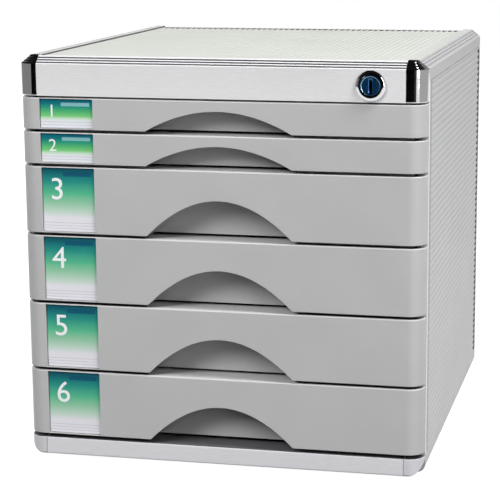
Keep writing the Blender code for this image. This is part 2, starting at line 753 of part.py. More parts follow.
def cross_slots(head_back):
    """The two bars of a cross slot in a screw head whose face is at head_back."""
    half = CROSS_SLOT_LENGTH / 2
    thin = CROSS_SLOT_WIDTH / 2
    low = head_back - CROSS_SLOT_DEPTH
    high = head_back + CUT_OVERRUN
    return [
        box((-half, low, -thin), (half, high, thin)),
        box((-thin, low, -half), (thin, high, half)),
    ]


def build_feet(finishes):
    """Four round rubber pads under the bottom panel."""
    pad = mesh_from("foot", prism(circle(0, 0, FOOT_RADIUS), "z", 0.0, FOOT_HEIGHT - FIT_GAP))
    across = HALF_WIDTH - FOOT_INSET
    depths = {"front": FRONT_Y + FOOT_INSET, "rear": FRONT_Y + CASE_DEPTH - FOOT_INSET}
    for end, y in depths.items():
        for hand, side in (("left", -1), ("right", 1)):
            add_object(f"{end}_{hand}_foot", pad, finishes["rubber"], (side * across, y, 0.0), smooth=True)


def ledge_shapes(side):
    """One ledge per drawer, from the runner plate in under the tray's edge."""
    outer = HALF_WIDTH - PLATE_OUTER - RUNNER_PLATE / 2
    inner = TRAY_HALF - LEDGE_OVERLAP
    xs = sorted((side * outer, side * inner))
    shapes = []
    for bottom in front_bottoms():
        low = (xs[0], FRONT_Y + LEDGE_FRONT, bottom)
        high = (xs[1], FRONT_Y + TRAY_BACK, bottom + LEDGE_THICKNESS)
        shapes.append(box(low, high))
    return shapes


def stop_shapes(side):
    """One stop per drawer, which the tray's rear nub meets at full travel."""
    outer = HALF_WIDTH - PLATE_OUTER - RUNNER_PLATE / 2
    inner = TRAY_HALF + STOP_TRAY_CLEAR
    xs = sorted((side * outer, side * inner))
    shapes = []
    for bottom, height in zip(front_bottoms(), FRONT_HEIGHTS):
        nub_top = bottom + height - TRAY_TOP_DROP - NUB_TOP_DROP
        low = (xs[0], FRONT_Y + STOP_BACK - STOP_LENGTH, nub_top - NUB_HEIGHT - STOP_MARGIN)
        high = (xs[1], FRONT_Y + STOP_BACK, nub_top + STOP_MARGIN)
        shapes.append(box(low, high))
    return shapes


def boss_shapes(side):
    """Blocks at the rear of a runner frame, which take the back screws."""
    outer = HALF_WIDTH - PLATE_OUTER - RUNNER_PLATE / 2
    inner = HALF_WIDTH - PLATE_INNER - BOSS_REACH
    xs = sorted((side * outer, side * inner))
    back = FRONT_Y + BACK_INNER - FIT_GAP
    shapes = []
    for x, z in screw_places().values():
        if x * side > 0:
            low = (xs[0], back - BOSS_LENGTH, z - BOSS_SIZE / 2)
            shapes.append(box(low, (xs[1], back, z + BOSS_SIZE / 2)))
    return shapes


def boss_holes(side):
    """Screw holes in the bosses of one runner frame."""
    back = FRONT_Y + BACK_INNER
    radius = SCREW_RADIUS + FIT_GAP
    return [
        prism(circle(x, z, radius, SMALL_ROUND_STEPS), "y", back - SCREW_LENGTH, back + CUT_OVERRUN)
        for x, z in screw_places().values()
        if x * side > 0
    ]


def guide_shapes():
    """Upright guides on the right runner frame, the rear one with a lip over the locking bar."""
    outer = HALF_WIDTH - PLATE_OUTER - RUNNER_PLATE / 2
    inner = HALF_WIDTH - BAR_INNER - RUN_GAP
    low, high = bar_guide_heights()
    before = FRONT_Y + BAR_FRONT - BAR_GUIDE_CLEAR
    behind = FRONT_Y + BAR_BACK + BAR_GUIDE_CLEAR
    after = behind + BAR_GUIDE_WIDTH
    lip = behind - BAR_GUIDE_CLEAR - BAR_LIP_REACH
    tip = inner - BAR_LIP_THICKNESS
    rear = [(inner, behind), (outer, behind), (outer, after), (tip, after), (tip, lip), (inner, lip)]
    return [
        box((inner, before - BAR_GUIDE_WIDTH, low), (outer, before, high)),
        prism(rear, "z", low, high),
    ]


def bar_guide_heights():
    """Lower and upper end of the locking bar's guides."""
    bottoms = front_bottoms()
    return bottoms[-1], bottoms[0] + THIN_FRONT_HEIGHT


def build_runner_frames(finishes):
    """Inner side frames: a plate with a ledge and a stop for every drawer."""
    low = FOOT_HEIGHT + BOTTOM_RADIUS + FIT_GAP
    high = FOOT_HEIGHT + CASE_HEIGHT - STRIP_BEVEL_HEIGHT - FIT_GAP
    front = FRONT_Y + BAND_FRONT
    back = FRONT_Y + BACK_INNER - FIT_GAP
    for hand, side in (("right", 1), ("left", -1)):
        name = f"{hand}_runner_frame"
        xs = sorted((side * (HALF_WIDTH - PLATE_OUTER), side * (HALF_WIDTH - PLATE_INNER)))
        mesh = mesh_from(name, box((xs[0], front, low), (xs[1], back, high)))
        additions = [several(ledge_shapes(side)), several(stop_shapes(side)), several(boss_shapes(side))]
        if side > 0:
            additions.append(several(guide_shapes()))
        mesh = combine(mesh, "UNION", *additions)
        mesh = combine(mesh, "DIFFERENCE", several(boss_holes(side)))
        add_object(name, mesh, finishes["inner_plastic"])


def front_ring(inset, height):
    """One level of a drawer front's outer shape, its face and sides drawn in by the inset."""
    side = HALF_WIDTH - FRONT_SIDE_INSET
    back = CORNER_RADIUS + FRONT_SIDE_INSET
    centre = side - CORNER_RADIUS
    radius = CORNER_RADIUS - inset
    box_side = HALF_WIDTH - FRONT_BOX_INSET
    right = [
        *arc(centre, CORNER_RADIUS, radius, radius, -90, 0),
        (side - inset, back),
        (box_side, back),
        (box_side, FRONT_BOX_DEPTH),
    ]
    left = [(-x, y) for x, y in reversed(right)]
    return [(x, y, height) for x, y in right + left]


def front_levels(height):
    """Inset and height of each level up a drawer front, with its edges rounded."""
    levels = []
    for step in range(EDGE_STEPS + 1):
        angle = math.radians(90) * step / EDGE_STEPS
        lift = FRONT_BOTTOM_ROUND * (1 - math.cos(angle))
        levels.append((FRONT_BOTTOM_ROUND * (1 - math.sin(angle)), lift))
    for step in range(EDGE_STEPS + 1):
        angle = math.radians(90) * step / EDGE_STEPS
        drop = FRONT_TOP_ROUND * (1 - math.sin(angle))
        levels.append((FRONT_TOP_ROUND * (1 - math.cos(angle)), height - drop))
    return levels


def front_cavity(height):
    """The space inside a drawer front, open at the back."""
    centre = HALF_WIDTH - FRONT_SIDE_INSET - CORNER_RADIUS
    radius = CORNER_RADIUS - FRONT_WALL
    wing_back = CORNER_RADIUS + FRONT_SIDE_INSET - FRONT_WALL
    box_side = HALF_WIDTH - FRONT_BOX_INSET - FRONT_WALL
    last = math.degrees(math.asin((wing_back - CORNER_RADIUS) / radius))
    right = [
        *arc(centre, CORNER_RADIUS, radius, radius, -90, last),
        (box_side, wing_back),
        (box_side, FRONT_BOX_DEPTH + CUT_OVERRUN),
    ]
    left = [(-x, y) for x, y in reversed(right)]
    return prism(right + left, "z", FRONT_WALL, height - FRONT_WALL)


def pull_rise(across, half_width, base, rise):
    """Height of the arch's edge, a parabola, at a distance from its middle, above the base at its ends."""
    return base + (rise - base) * (1 - min(1.0, abs(across) / half_width) ** 2)


def pull_solid(half_width, rise, depth, centre, base, margin):
    """The space under the arch, whose section at each place is a quarter of an ellipse.

    The ellipse's centre lies at depth centre and height base, and the margin is
    how far the solid goes on to the front and down from there.
    """
    rings = []
    for step in range(PULL_STEPS + 1):
        across = half_width * math.sin(math.pi * (step / PULL_STEPS - 1 / 2))
        height = pull_rise(across, half_width, base, rise)
        section = [(centre - margin, base - margin), (centre - margin, height)]
        for index in range(PULL_DEPTH_STEPS + 1):
            angle = math.pi / 2 * index / PULL_DEPTH_STEPS
            back = centre + (depth - centre) * math.sin(angle)
            section.append((back, base + (height - base) * math.cos(angle)))
        section.append((depth, base - margin))
        rings.append([(across, y, z) for y, z in section])
    return loft(rings)


def front_mesh(name, height, rise):
    """A drawer front: hollow box, round corners, finger pull and label recess."""
    mesh = mesh_from(name, loft([front_ring(inset, level) for inset, level in front_levels(height)]))
    mesh = combine(mesh, "DIFFERENCE", front_cavity(height))
    inside = FRONT_WALL / 2
    shell = pull_solid(
        PULL_HALF_WIDTH + PULL_WALL, rise + PULL_WALL, PULL_DEPTH + PULL_WALL, inside, inside, inside / 2
    )
    mesh = combine(mesh, "UNION", shell)
    hollow = pull_solid(PULL_HALF_WIDTH, rise, PULL_DEPTH, 0.0, 0.0, CUT_OVERRUN)
    recess = box(
        (LABEL_LEFT, -CUT_OVERRUN, LABEL_EDGE_MARGIN),
        (LABEL_LEFT + LABEL_WIDTH, LABEL_DEPTH, height - LABEL_EDGE_MARGIN),
    )
    return combine(mesh, "DIFFERENCE", hollow, recess)


def card_mesh(name, height):
    """The label card in its recess."""
    low = LABEL_EDGE_MARGIN + FIT_GAP
    high = height - LABEL_EDGE_MARGIN - FIT_GAP
    left = LABEL_LEFT + FIT_GAP
    right = LABEL_LEFT + LABEL_WIDTH - FIT_GAP
    back = LABEL_DEPTH - FIT_GAP
    return mesh_from(name, box((left, back - CARD_THICKNESS, low), (right, back, high)))


def window_mesh(name, height):
    """The clear window over the label card, flush with the front."""
    low = LABEL_EDGE_MARGIN + FIT_GAP
    high = height - LABEL_EDGE_MARGIN - FIT_GAP
    left = LABEL_LEFT + FIT_GAP
    right = LABEL_LEFT + LABEL_WIDTH - FIT_GAP
    return mesh_from(name, box((left, 0.0, low), (right, WINDOW_THICKNESS, high)))


def tray_outline(wall):
    """Plan of a tray, its rear corners rounded, drawn in by a wall."""
    side = TRAY_HALF - wall
    front = TRAY_FRONT + wall
    radius = TRAY_CORNER_RADIUS - wall
    corner = arc(side - radius, TRAY_BACK - wall - radius, radius, radius, 0, 90, EDGE_STEPS + 1)
    right = [(side, front), *corner]
    return right + [(-x, y) for x, y in reversed(right)]


def tray_additions(height):
    """The nubs and hooks on the outside of a tray."""
    root = TRAY_HALF - TRAY_WALL / 2
    nub_top = height - TRAY_TOP_DROP - NUB_TOP_DROP
    middle = height / 2
    shapes = []
    for side in (-1, 1):
        xs = sorted((side * root, side * (TRAY_HALF + NUB_REACH)))
        shapes.append(box((xs[0], NUB_FRONT, nub_top - NUB_HEIGHT), (xs[1], NUB_BACK, nub_top)))
        hook = side * TRAY_HOOK_OFFSET
        shapes.append(
            box(
                (hook - TRAY_HOOK_WIDTH / 2, TRAY_FRONT - TRAY_HOOK_LENGTH, middle - NUB_HEIGHT / 2),
                (hook + TRAY_HOOK_WIDTH / 2, TRAY_FRONT + TRAY_WALL / 2, middle + NUB_HEIGHT / 2),
            )
        )
    return several(shapes)


def tray_coves():
    """The sloped strips that stiffen the foot of a tray's side walls from inside."""
    middle = TRAY_HALF - TRAY_WALL / 2
    inner = TRAY_HALF - TRAY_WALL
    floor = TRAY_BOTTOM + TRAY_FLOOR
    root = floor - TRAY_FLOOR / 2
    right = [
        (inner - TRAY_COVE, root),
        (middle, root),
        (middle, floor + TRAY_COVE),
        (inner, floor + TRAY_COVE),
        (inner - TRAY_COVE, floor),
    ]
    left = [(-x, z) for x, z in right]
    start = TRAY_FRONT + TRAY_WALL / 2
    return several([prism(outline, "y", start, TRAY_BACK - TRAY_CORNER_RADIUS) for outline in (left, right)])


def tray_mesh(name, height):
    """A drawer tray: open box with coves, stop nubs and hooks for the front."""
    top = height - TRAY_TOP_DROP
    mesh = mesh_from(name, prism(tray_outline(0.0), "z", TRAY_BOTTOM, top))
    hollow = prism(tray_outline(TRAY_WALL), "z", TRAY_BOTTOM + TRAY_FLOOR, top + CUT_OVERRUN)
    mesh = combine(mesh, "DIFFERENCE", hollow)
    return combine(mesh, "UNION", tray_additions(height), tray_coves())


def catch_mesh(name):
    """The locking catch on a tray's right side, a small block that slopes off towards the back."""
    inner = TRAY_HALF + FIT_GAP
    outer = TRAY_HALF + TRAY_BAR_CLEAR - CATCH_BAR_CLEAR
    outline = [
        (inner, CATCH_FRONT),
        (outer, CATCH_FRONT),
        (outer, CATCH_FRONT + CATCH_LENGTH / 2),
        (inner, CATCH_FRONT + CATCH_LENGTH),
    ]
    return mesh_from(name, prism(outline, "z", CATCH_BOTTOM, CATCH_BOTTOM + CATCH_HEIGHT))


def build_drawers(finishes):
    """Six drawers, two thin ones over four deep ones, each on its own slide."""
    meshes = {}
    for label, height, rise in (
        ("thin", THIN_FRONT_HEIGHT, THIN_PULL_RISE),
        ("deep", DEEP_FRONT_HEIGHT, DEEP_PULL_RISE),
    ):
        meshes[height] = {
            "front": front_mesh(f"{label}_front", height, rise),
            "tray": tray_mesh(f"{label}_tray", height),
            "card": card_mesh(f"{label}_card", height),
            "window": window_mesh(f"{label}_window", height),
            "catch": catch_mesh(f"{label}_catch"),
        }
    looks = {"front": "drawer_grey", "tray": "tray_grey", "card": "card", "window": "window", "catch": "steel"}
    for index, (bottom, height) in enumerate(zip(front_bottoms(), FRONT_HEIGHTS), start=1):
        slide = add_pivot(f"drawer_{index}_slide", (0.0, FRONT_Y, bottom))
        for piece, look in looks.items():
            name = f"drawer_{index}_{piece}"
            add_object(name, meshes[height][piece], finishes[look], parent=slide, smooth=piece == "front")


def build_lock_housing(finishes):
    """The fixed part of the lock: a chrome bezel on a barrel through the rail."""
    face = -LOCK_BEZEL_HEIGHT
    head_seat = face + PLUG_RECESS + PLUG_HEAD_DEPTH + RUN_GAP
    bore = PLUG_BODY_RADIUS + RUN_GAP
    head_bore = PLUG_HEAD_RADIUS + RUN_GAP
    edge_radius = LOCK_BEZEL_RADIUS - LOCK_BEZEL_ROUND
    edge = arc(edge_radius, face + LOCK_BEZEL_ROUND, LOCK_BEZEL_ROUND, LOCK_BEZEL_ROUND, 0, -90, EDGE_STEPS)
    profile = [
        (LOCK_BARREL_RADIUS, LOCK_BARREL_LENGTH),
        (LOCK_BARREL_RADIUS, -FIT_GAP),
        (LOCK_BEZEL_RADIUS, -FIT_GAP),
        *edge,
        (LOCK_MOUTH_RADIUS, face),
        (head_bore, face + LOCK_MOUTH_RADIUS - head_bore),
        (head_bore, head_seat),
        (bore, head_seat),
        (bore, LOCK_BARREL_LENGTH),
    ]
    mesh = mesh_from("lock_housing", turned(profile))
    add_object("lock_housing", mesh, finishes["chrome"], (LOCK_X, FRONT_Y, LOCK_Z), smooth=True)


def build_lock_nut(finishes):
    """The hexagonal nut that holds the barrel behind the rail."""
    front = RAIL_WALL + FIT_GAP
    corner = NUT_ACROSS_FLATS / 2 / math.cos(math.pi / NUT_SIDES)
    shape = prism(circle(0, 0, corner, NUT_SIDES), "y", front, front + NUT_THICKNESS)
    back = front + NUT_THICKNESS
    bore = prism(circle(0, 0, LOCK_BARREL_RADIUS + FIT_GAP), "y", front - CUT_OVERRUN, back + CUT_OVERRUN)
    mesh = combine(mesh_from("lock_nut", shape), "DIFFERENCE", bore)
    add_object("lock_nut", mesh, finishes["steel"], (LOCK_X, FRONT_Y, LOCK_Z))


def build_lock_plug(finishes, pivot):
    """The blue plug with its key slot, which turns in the housing."""
    face = PLUG_RECESS - LOCK_BEZEL_HEIGHT
    profile = [
        (PLUG_HEAD_RADIUS, face),
        (PLUG_HEAD_RADIUS, face + PLUG_HEAD_DEPTH),
        (PLUG_BODY_RADIUS, face + PLUG_HEAD_DEPTH),
        (PLUG_BODY_RADIUS, LOCK_BARREL_LENGTH),
    ]
    slot = box(
        (-KEY_SLOT_WIDTH / 2, face - CUT_OVERRUN, -KEY_SLOT_HEIGHT / 2),
        (KEY_SLOT_WIDTH / 2, face + KEY_SLOT_DEPTH, KEY_SLOT_HEIGHT / 2),
    )
    tapping = prism(
        circle(0, 0, CAM_SCREW_SHANK + FIT_GAP, SMALL_ROUND_STEPS),
        "y",
        CAM_BACK + RUN_GAP - CAM_SCREW_LENGTH,
        LOCK_BARREL_LENGTH + CUT_OVERRUN,
    )
    mesh = combine(mesh_from("lock_plug", turned_solid(profile)), "DIFFERENCE", slot, tapping)
    add_object("lock_plug", mesh, finishes["lock_blue"], parent=pivot, smooth=True)


def build_lock_cam(finishes, pivot):
    """The cam disc behind the barrel, with the pin that drives the locking bar."""
    disc = mesh_from("lock_cam", prism(circle(0, 0, CAM_RADIUS), "y", CAM_FRONT, CAM_BACK))
    pin = prism(
        circle(PIN_SIDE, PIN_RISE, CAM_PIN_RADIUS, SMALL_ROUND_STEPS),
        "y",
        CAM_BACK - CAM_THICKNESS / 2,
        BAR_FRONT + BAR_THICKNESS + CAM_PIN_RADIUS,
    )
    hole = prism(
        circle(0, 0, CAM_SCREW_SHANK + FIT_GAP, SMALL_ROUND_STEPS),
        "y",
        CAM_FRONT - CUT_OVERRUN,
        CAM_BACK + CUT_OVERRUN,
    )
    mesh = combine(combine(disc, "UNION", pin), "DIFFERENCE", hole)
    add_object("lock_cam", mesh, finishes["steel"], parent=pivot, smooth=True)


def build_cam_screw(finishes, pivot):
    """The screw that holds the cam on the plug."""
    seat = CAM_BACK + RUN_GAP
    profile = [
        (CAM_SCREW_SHANK, seat - CAM_SCREW_LENGTH + RUN_GAP),
        (CAM_SCREW_SHANK, seat),
        (CAM_SCREW_RADIUS, seat),
        (CAM_SCREW_RADIUS, seat + CAM_SCREW_HEIGHT),
    ]
    mesh = mesh_from("cam_screw", turned_solid(profile, SMALL_ROUND_STEPS))
    mesh = combine(mesh, "DIFFERENCE", *cross_slots(CAM_SCREW_BACK))
    add_object("cam_screw", mesh, finishes["steel"], parent=pivot, smooth=True)


def bar_arm_shape():
    """The arm that reaches from the upright strip across to the cam's pin."""
    left = LOCK_X + PIN_SIDE - BAR_ARM_OVERRUN
    right = HALF_WIDTH - BAR_OUTER - BAR_THICKNESS / 2
    middle = LOCK_Z + PIN_RISE
    return box(
        (left, FRONT_Y + BAR_FRONT, middle - BAR_ARM_HEIGHT / 2),
        (right, FRONT_Y + BAR_FRONT + BAR_THICKNESS, middle + BAR_ARM_HEIGHT / 2),
    )


def bar_slot_shape():
    """The slot that the cam's pin runs in, long enough for the pin's sideways swing."""
    reach = CAM_PIN_RADIUS + BAR_SLOT_CLEAR
    middle = LOCK_Z + PIN_RISE
    return box(
        (LOCK_X + PIN_SIDE - reach, FRONT_Y + BAR_FRONT - CUT_OVERRUN, middle - reach),
        (LOCK_X + CAM_PIN_THROW + reach, FRONT_Y + BAR_FRONT + BAR_THICKNESS + CUT_OVERRUN, middle + reach),
    )


def bar_tabs():
    """One tab per drawer, which drops in front of the tray's catch when locked: lower and upper end of each."""
    lows = [bottom + CATCH_BOTTOM + BAR_TRAVEL for bottom in front_bottoms()]
    return [(low, low + TAB_HEIGHT) for low in lows]


def bar_tab_shapes(tabs):
    """The tabs of one length of the bar."""
    root = HALF_WIDTH - BAR_INNER + BAR_THICKNESS / 2
    tip = TRAY_HALF + TAB_TRAY_CLEAR
    return several([box((tip, FRONT_Y + BAR_FRONT, low), (root, FRONT_Y + TAB_BACK, high)) for low, high in tabs])


def bar_strips():
    """The two lengths of the upright strip, upper one first, which meet in a half lap."""
    tabs = bar_tabs()
    front, back = FRONT_Y + BAR_FRONT, FRONT_Y + BAR_BACK
    middle = (front + back) / 2
    seam = (tabs[DRAWER_COUNT // 2 - 1][0] + tabs[DRAWER_COUNT // 2][1]) / 2
    lap_low, lap_high = seam - BAR_LAP / 2, seam + BAR_LAP / 2
    top = LOCK_Z + PIN_RISE + BAR_ARM_HEIGHT / 2
    bottom = tabs[-1][0] - BAR_END
    upper = [(front, lap_low), (middle, lap_low), (middle, lap_high), (back, lap_high), (back, top), (front, top)]
    lower = [
        (front, bottom),
        (back, bottom),
        (back, lap_high - FIT_GAP),
        (middle + FIT_GAP, lap_high - FIT_GAP),
        (middle + FIT_GAP, lap_low - FIT_GAP),
        (front, lap_low - FIT_GAP),
    ]
    return [prism(outline, "x", HALF_WIDTH - BAR_INNER, HALF_WIDTH - BAR_OUTER) for outline in (upper, lower)]


def build_lock_bar(finishes):
    """The locking bar, shown raised, with every drawer free."""
    tabs = bar_tabs()
    upper, lower = bar_strips()
    upper = combine(
        mesh_from("lock_bar_upper", upper), "UNION", bar_arm_shape(), bar_tab_shapes(tabs[: DRAWER_COUNT // 2])
    )
    upper = combine(upper, "DIFFERENCE", bar_slot_shape())
    lower = combine(mesh_from("lock_bar_lower", lower), "UNION", bar_tab_shapes(tabs[DRAWER_COUNT // 2 :]))
    pivot = add_pivot("lock_bar_slide", (HALF_WIDTH - BAR_INNER, FRONT_Y + BAR_FRONT, LOCK_Z))
    for name, mesh in (("lock_bar_upper", upper), ("lock_bar_lower", lower)):
        bar = add_object(name, mesh, finishes["steel"])
        bar.parent = pivot
        bar.matrix_parent_inverse.identity()
        bar.location = (-pivot.location[0], -pivot.location[1], -pivot.location[2])


def build_lock(finishes):
    """The lock: housing and nut in the rail, plug and cam on the turning axis, and the bar."""
    build_lock_housing(finishes)
    build_lock_nut(finishes)
    pivot = add_pivot("lock_turn_axis", (LOCK_X, FRONT_Y, LOCK_Z))
    build_lock_plug(finishes, pivot)
    build_lock_cam(finishes, pivot)
    build_cam_screw(finishes, pivot)
    build_lock_bar(finishes)


def build_case(finishes):
    """Everything that stays still: panels, strips, rails, caps, runners, back and feet."""
    build_top_panel(finishes)
    build_side_panels(finishes)
    build_corner_strips(finishes)
    build_posts(finishes)
    build_top_rail(finishes)
    build_bottom_rail(finishes)
    build_caps(finishes)
    build_end_blocks(finishes)
    build_bottom_panel(finishes)
    build_back_panel(finishes)
    build_feet(finishes)
    build_runner_frames(finishes)


def main():
    """Build the whole cabinet."""
    clear_scene()
    finishes = make_finishes()
    build_case(finishes)
    build_drawers(finishes)
    build_lock(finishes)


main()
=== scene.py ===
"""Looks of the desktop file cabinet: every finish, fine edge and printed card, the stage and the camera.

Lengths are metres. X runs to the right, Y from the drawer fronts to the back, Z up. Each class below
builds one sub-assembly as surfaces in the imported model's own frame, and each finish is a small class
that makes one procedural material.
"""

import logging
import math
from dataclasses import dataclass, field
from enum import Enum
from functools import cached_property

import bmesh
import bpy
import numpy as np
from mathutils import Matrix, Vector


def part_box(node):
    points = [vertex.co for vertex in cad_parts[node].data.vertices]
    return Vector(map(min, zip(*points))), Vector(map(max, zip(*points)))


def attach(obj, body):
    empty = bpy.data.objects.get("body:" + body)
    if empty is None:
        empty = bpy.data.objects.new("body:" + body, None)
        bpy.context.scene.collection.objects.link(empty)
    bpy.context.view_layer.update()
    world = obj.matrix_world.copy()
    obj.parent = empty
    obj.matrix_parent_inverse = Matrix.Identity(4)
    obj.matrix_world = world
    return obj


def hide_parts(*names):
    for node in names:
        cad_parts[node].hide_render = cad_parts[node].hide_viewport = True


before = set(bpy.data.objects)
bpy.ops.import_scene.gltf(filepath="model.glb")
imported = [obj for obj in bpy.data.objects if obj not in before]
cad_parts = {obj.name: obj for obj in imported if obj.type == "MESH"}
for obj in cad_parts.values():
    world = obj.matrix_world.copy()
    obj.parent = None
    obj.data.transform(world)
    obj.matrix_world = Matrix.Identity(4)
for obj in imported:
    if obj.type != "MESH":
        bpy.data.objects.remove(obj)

log = logging.getLogger("cabinet")
Array = np.ndarray
Pair = tuple[float, float]
Place = Colour = tuple[float, float, float]
Material, Object, Socket = bpy.types.Material, bpy.types.Object, bpy.types.NodeSocket

MERGE_DISTANCE = 1e-6
FLAT_ANGLE, SHARP_ANGLE, BEVEL_ANGLE = (math.radians(angle) for angle in (1.0, 35.0, 40.0))
QUARTER = math.pi / 2
MITRE_LIMIT = 0.3  # least sum of two edge normals that a mitre is divided by
REACH_LIMIT = 0.49  # share of the shorter side that a rounding may take
HANDS = (("right", 1), ("left", -1))


# Geometry worked out as whole arrays


def fillet(corners: Array | list, radius: float | Array, steps: int = 4, closed: bool = True) -> Array:
    """Round the corners of an outline.

    With unit vectors a and b from a corner to its neighbours and the angle w between them, the arc
    starts r / tan(w / 2) along a, ends as far along b, and is centred r / sin(w / 2) along the
    bisector. The points between are the slerp of the two radii.

    Args:
        corners: the corners, one (first, second) pair each.
        radius: one radius, or one for each corner. Zero keeps a corner sharp.
        steps: segments on each arc.
        closed: whether the last corner is joined to the first. An open outline keeps its ends.

    Returns:
        The rounded outline's points, without repeats.
    """
    corners = np.asarray(corners, float)
    radii = np.broadcast_to(np.asarray(radius, float), len(corners)).copy()
    if not closed:
        radii[[0, -1]] = 0.0
    sides = np.stack([np.roll(corners, 1, axis=0), np.roll(corners, -1, axis=0)]) - corners
    lengths = np.linalg.norm(sides, axis=2)
    sides /= lengths[..., None]
    angle = np.arccos(np.clip((sides[0] * sides[1]).sum(axis=1), -1.0, 1.0))
    reach = np.minimum(radii / np.tan(angle / 2), REACH_LIMIT * lengths.min(axis=0))
    radii = reach * np.tan(angle / 2)
    bisector = sides[0] + sides[1]
    bisector /= np.maximum(np.linalg.norm(bisector, axis=1), MERGE_DISTANCE)[:, None]
    centre = corners + bisector * (radii / np.sin(angle / 2))[:, None]
    first, last = corners + sides * reach[:, None] - centre
    sweep = np.maximum(math.pi - angle, MERGE_DISTANCE)[:, None]
    share = np.linspace(0.0, 1.0, steps + 1)[None, :]
    start, end = ((np.sin(part * sweep) / np.sin(sweep))[:, :, None] for part in (1 - share, share))
    points = (centre[:, None, :] + start * first[:, None, :] + end * last[:, None, :]).reshape(-1, 2)
    keep = np.linalg.norm(points - np.roll(points, 1, axis=0), axis=1) > MERGE_DISTANCE
    keep[0] |= not closed
    return points[keep]


def outward(outline: Array) -> Array:
    """Mitred outward directions at the points of a closed outline.

    At each point it is the sum of the two edge normals over one plus their dot product, so that
    moving every point by the same distance moves every edge by that distance.

    Args:
        outline: the outline's points, in either turning direction.

    Returns:
        One direction for each point.
    """
    following = np.roll(outline, -1, axis=0)
    edge = following - outline
    edge /= np.linalg.norm(edge, axis=1)[:, None]
    area = (outline[:, 0] * following[:, 1] - outline[:, 1] * following[:, 0]).sum()
    normal = np.sign(area) * np.stack([edge[:, 1], -edge[:, 0]], axis=1)
    previous = np.roll(normal, 1, axis=0)
    spread = 1 + (normal * previous).sum(axis=1)
    return (normal + previous) / np.maximum(spread, MITRE_LIMIT)[:, None]


def quarter(steps: int) -> tuple[Array, Array]:
    """Sine and one minus cosine of evenly spaced angles from 0 to 90 degrees."""
    angle = np.linspace(0.0, QUARTER, steps + 1)
    return np.sin(angle), 1 - np.cos(angle)


def arc(centre: Pair | Array, radius: float, start: float, end: float, steps: int) -> Array:
    """Points of an arc from one angle to another, both included."""
    angle = np.linspace(start, end, steps + 1)
    return np.asarray(centre) + radius * np.stack([np.cos(angle), np.sin(angle)], axis=1)


def circle(radius: float, steps: int, centre: Pair = (0.0, 0.0)) -> Array:
    """Points of a circle, each once, anticlockwise from the first axis."""
    return arc(centre, radius, 0.0, 2 * math.pi, steps)[:-1]


def rounded_box(low: Pair, high: Pair, radius: float, steps: int = 4) -> Array:
    """Outline of a rectangle with round corners."""
    return fillet([(low[0], low[1]), (high[0], low[1]), (high[0], high[1]), (low[0], high[1])], radius, steps)


def corner_plan(inner: float, corner: Array, back: float) -> Array:
    """Plan of a right front corner: its inner edge, the points of the round corner and its back edge."""
    return np.concatenate([[(inner, corner[0, 1])], corner, [(corner[-1, 0], back), (inner, back)]])


class Axis(Enum):
    """The direction that an outline is carried along."""

    X = 0
    Y = 1
    Z = 2

    def place(self, outline: Array, level: Array | float) -> Array:
        """Put the level, one or one for each point, between an outline's coordinates as this axis's own."""
        along = np.broadcast_to(level, outline.shape[:-1])
        return np.insert(outline, self.value, along, axis=-1)


@dataclass
class Surface:
    """A mesh gathered from grids of points and flat caps."""

    name: str  # the finished object's name
    points: list[Array] = field(default_factory=list)  # arrays of points, in the order of adding
    faces: list[list[int]] = field(default_factory=list)  # point numbers of each face
    count: int = 0  # how many points there are so far

    def grid(self, rows: Array, closed: bool = True) -> Array:
        """Add a grid of points and the quads between them.

        Args:
            rows: points as (row, column, coordinate).
            closed: whether the last column is joined to the first.

        Returns:
            The numbers of the points, as (row, column).
        """
        height, width = rows.shape[:2]
        numbers = self.count + np.arange(height * width).reshape(height, width)
        following = np.roll(numbers, -1, axis=1)
        quads = np.stack([numbers[:-1], following[:-1], following[1:], numbers[1:]], axis=-1)
        if not closed:
            quads = quads[:, :-1]
        self.points.append(rows.reshape(-1, 3))
        self.faces.extend(quads.reshape(-1, 4).tolist())
        self.count += height * width
        return numbers

    def cap(self, numbers: Array) -> None:
        """Close a flat loop of points with one face."""
        self.faces.append([int(number) for number in numbers])

    def tube(self, rows: Array | list[Array]) -> None:
        """Add rings joined in order and closed by a flat face at each end.

        Args:
            rows: the rings, as many points in each.
        """
        numbers = self.grid(np.stack(rows))
        self.cap(numbers[0])
        self.cap(numbers[-1])

    def extrude(
        self, outline: Array, axis: Axis, start: float, end: float, edge: float = 0.0002, steps: int = 2
    ) -> None:
        """Add a solid with one outline along an axis, its end edges rounded.

        Ring j near an end is the outline moved in by e * (1 - sin t) and e * (1 - cos t) past the end,
        for t from 0 to 90 degrees.

        Args:
            outline: the closed outline.
            axis: the direction that the outline is carried along.
            start: where the solid starts.
            end: where it ends.
            edge: radius of the end edges.
            steps: segments on each end edge.
        """
        sine, lift = quarter(steps)
        direction = outward(outline)
        insets = [direction * shift for shift in edge * (1 - sine)]
        rings = [axis.place(outline - inset, start + edge * rise) for inset, rise in zip(insets, lift)]
        rings += [axis.place(outline - inset, end - edge * rise) for inset, rise in zip(insets[::-1], lift[::-1])]
        self.tube(rings)

    def finish(self, material: Material) -> Object:
        """Make the object: points merged, faces out, smooth but for sharp edges.

        Args:
            material: the finish of every face.

        Returns:
            The object, which sits at the origin with its place in its mesh.
        """
        mesh = bpy.data.meshes.new(self.name)
        mesh.from_pydata(np.concatenate(self.points).tolist(), [], self.faces)
        shape = bmesh.new()
        shape.from_mesh(mesh)
        bmesh.ops.remove_doubles(shape, verts=shape.verts, dist=MERGE_DISTANCE)
        bmesh.ops.dissolve_degenerate(shape, edges=shape.edges, dist=MERGE_DISTANCE)
        bmesh.ops.recalc_face_normals(shape, faces=shape.faces)
        shape.to_mesh(mesh)
        shape.free()
        mesh.materials.append(material)
        return smooth(add_object(self.name, mesh))


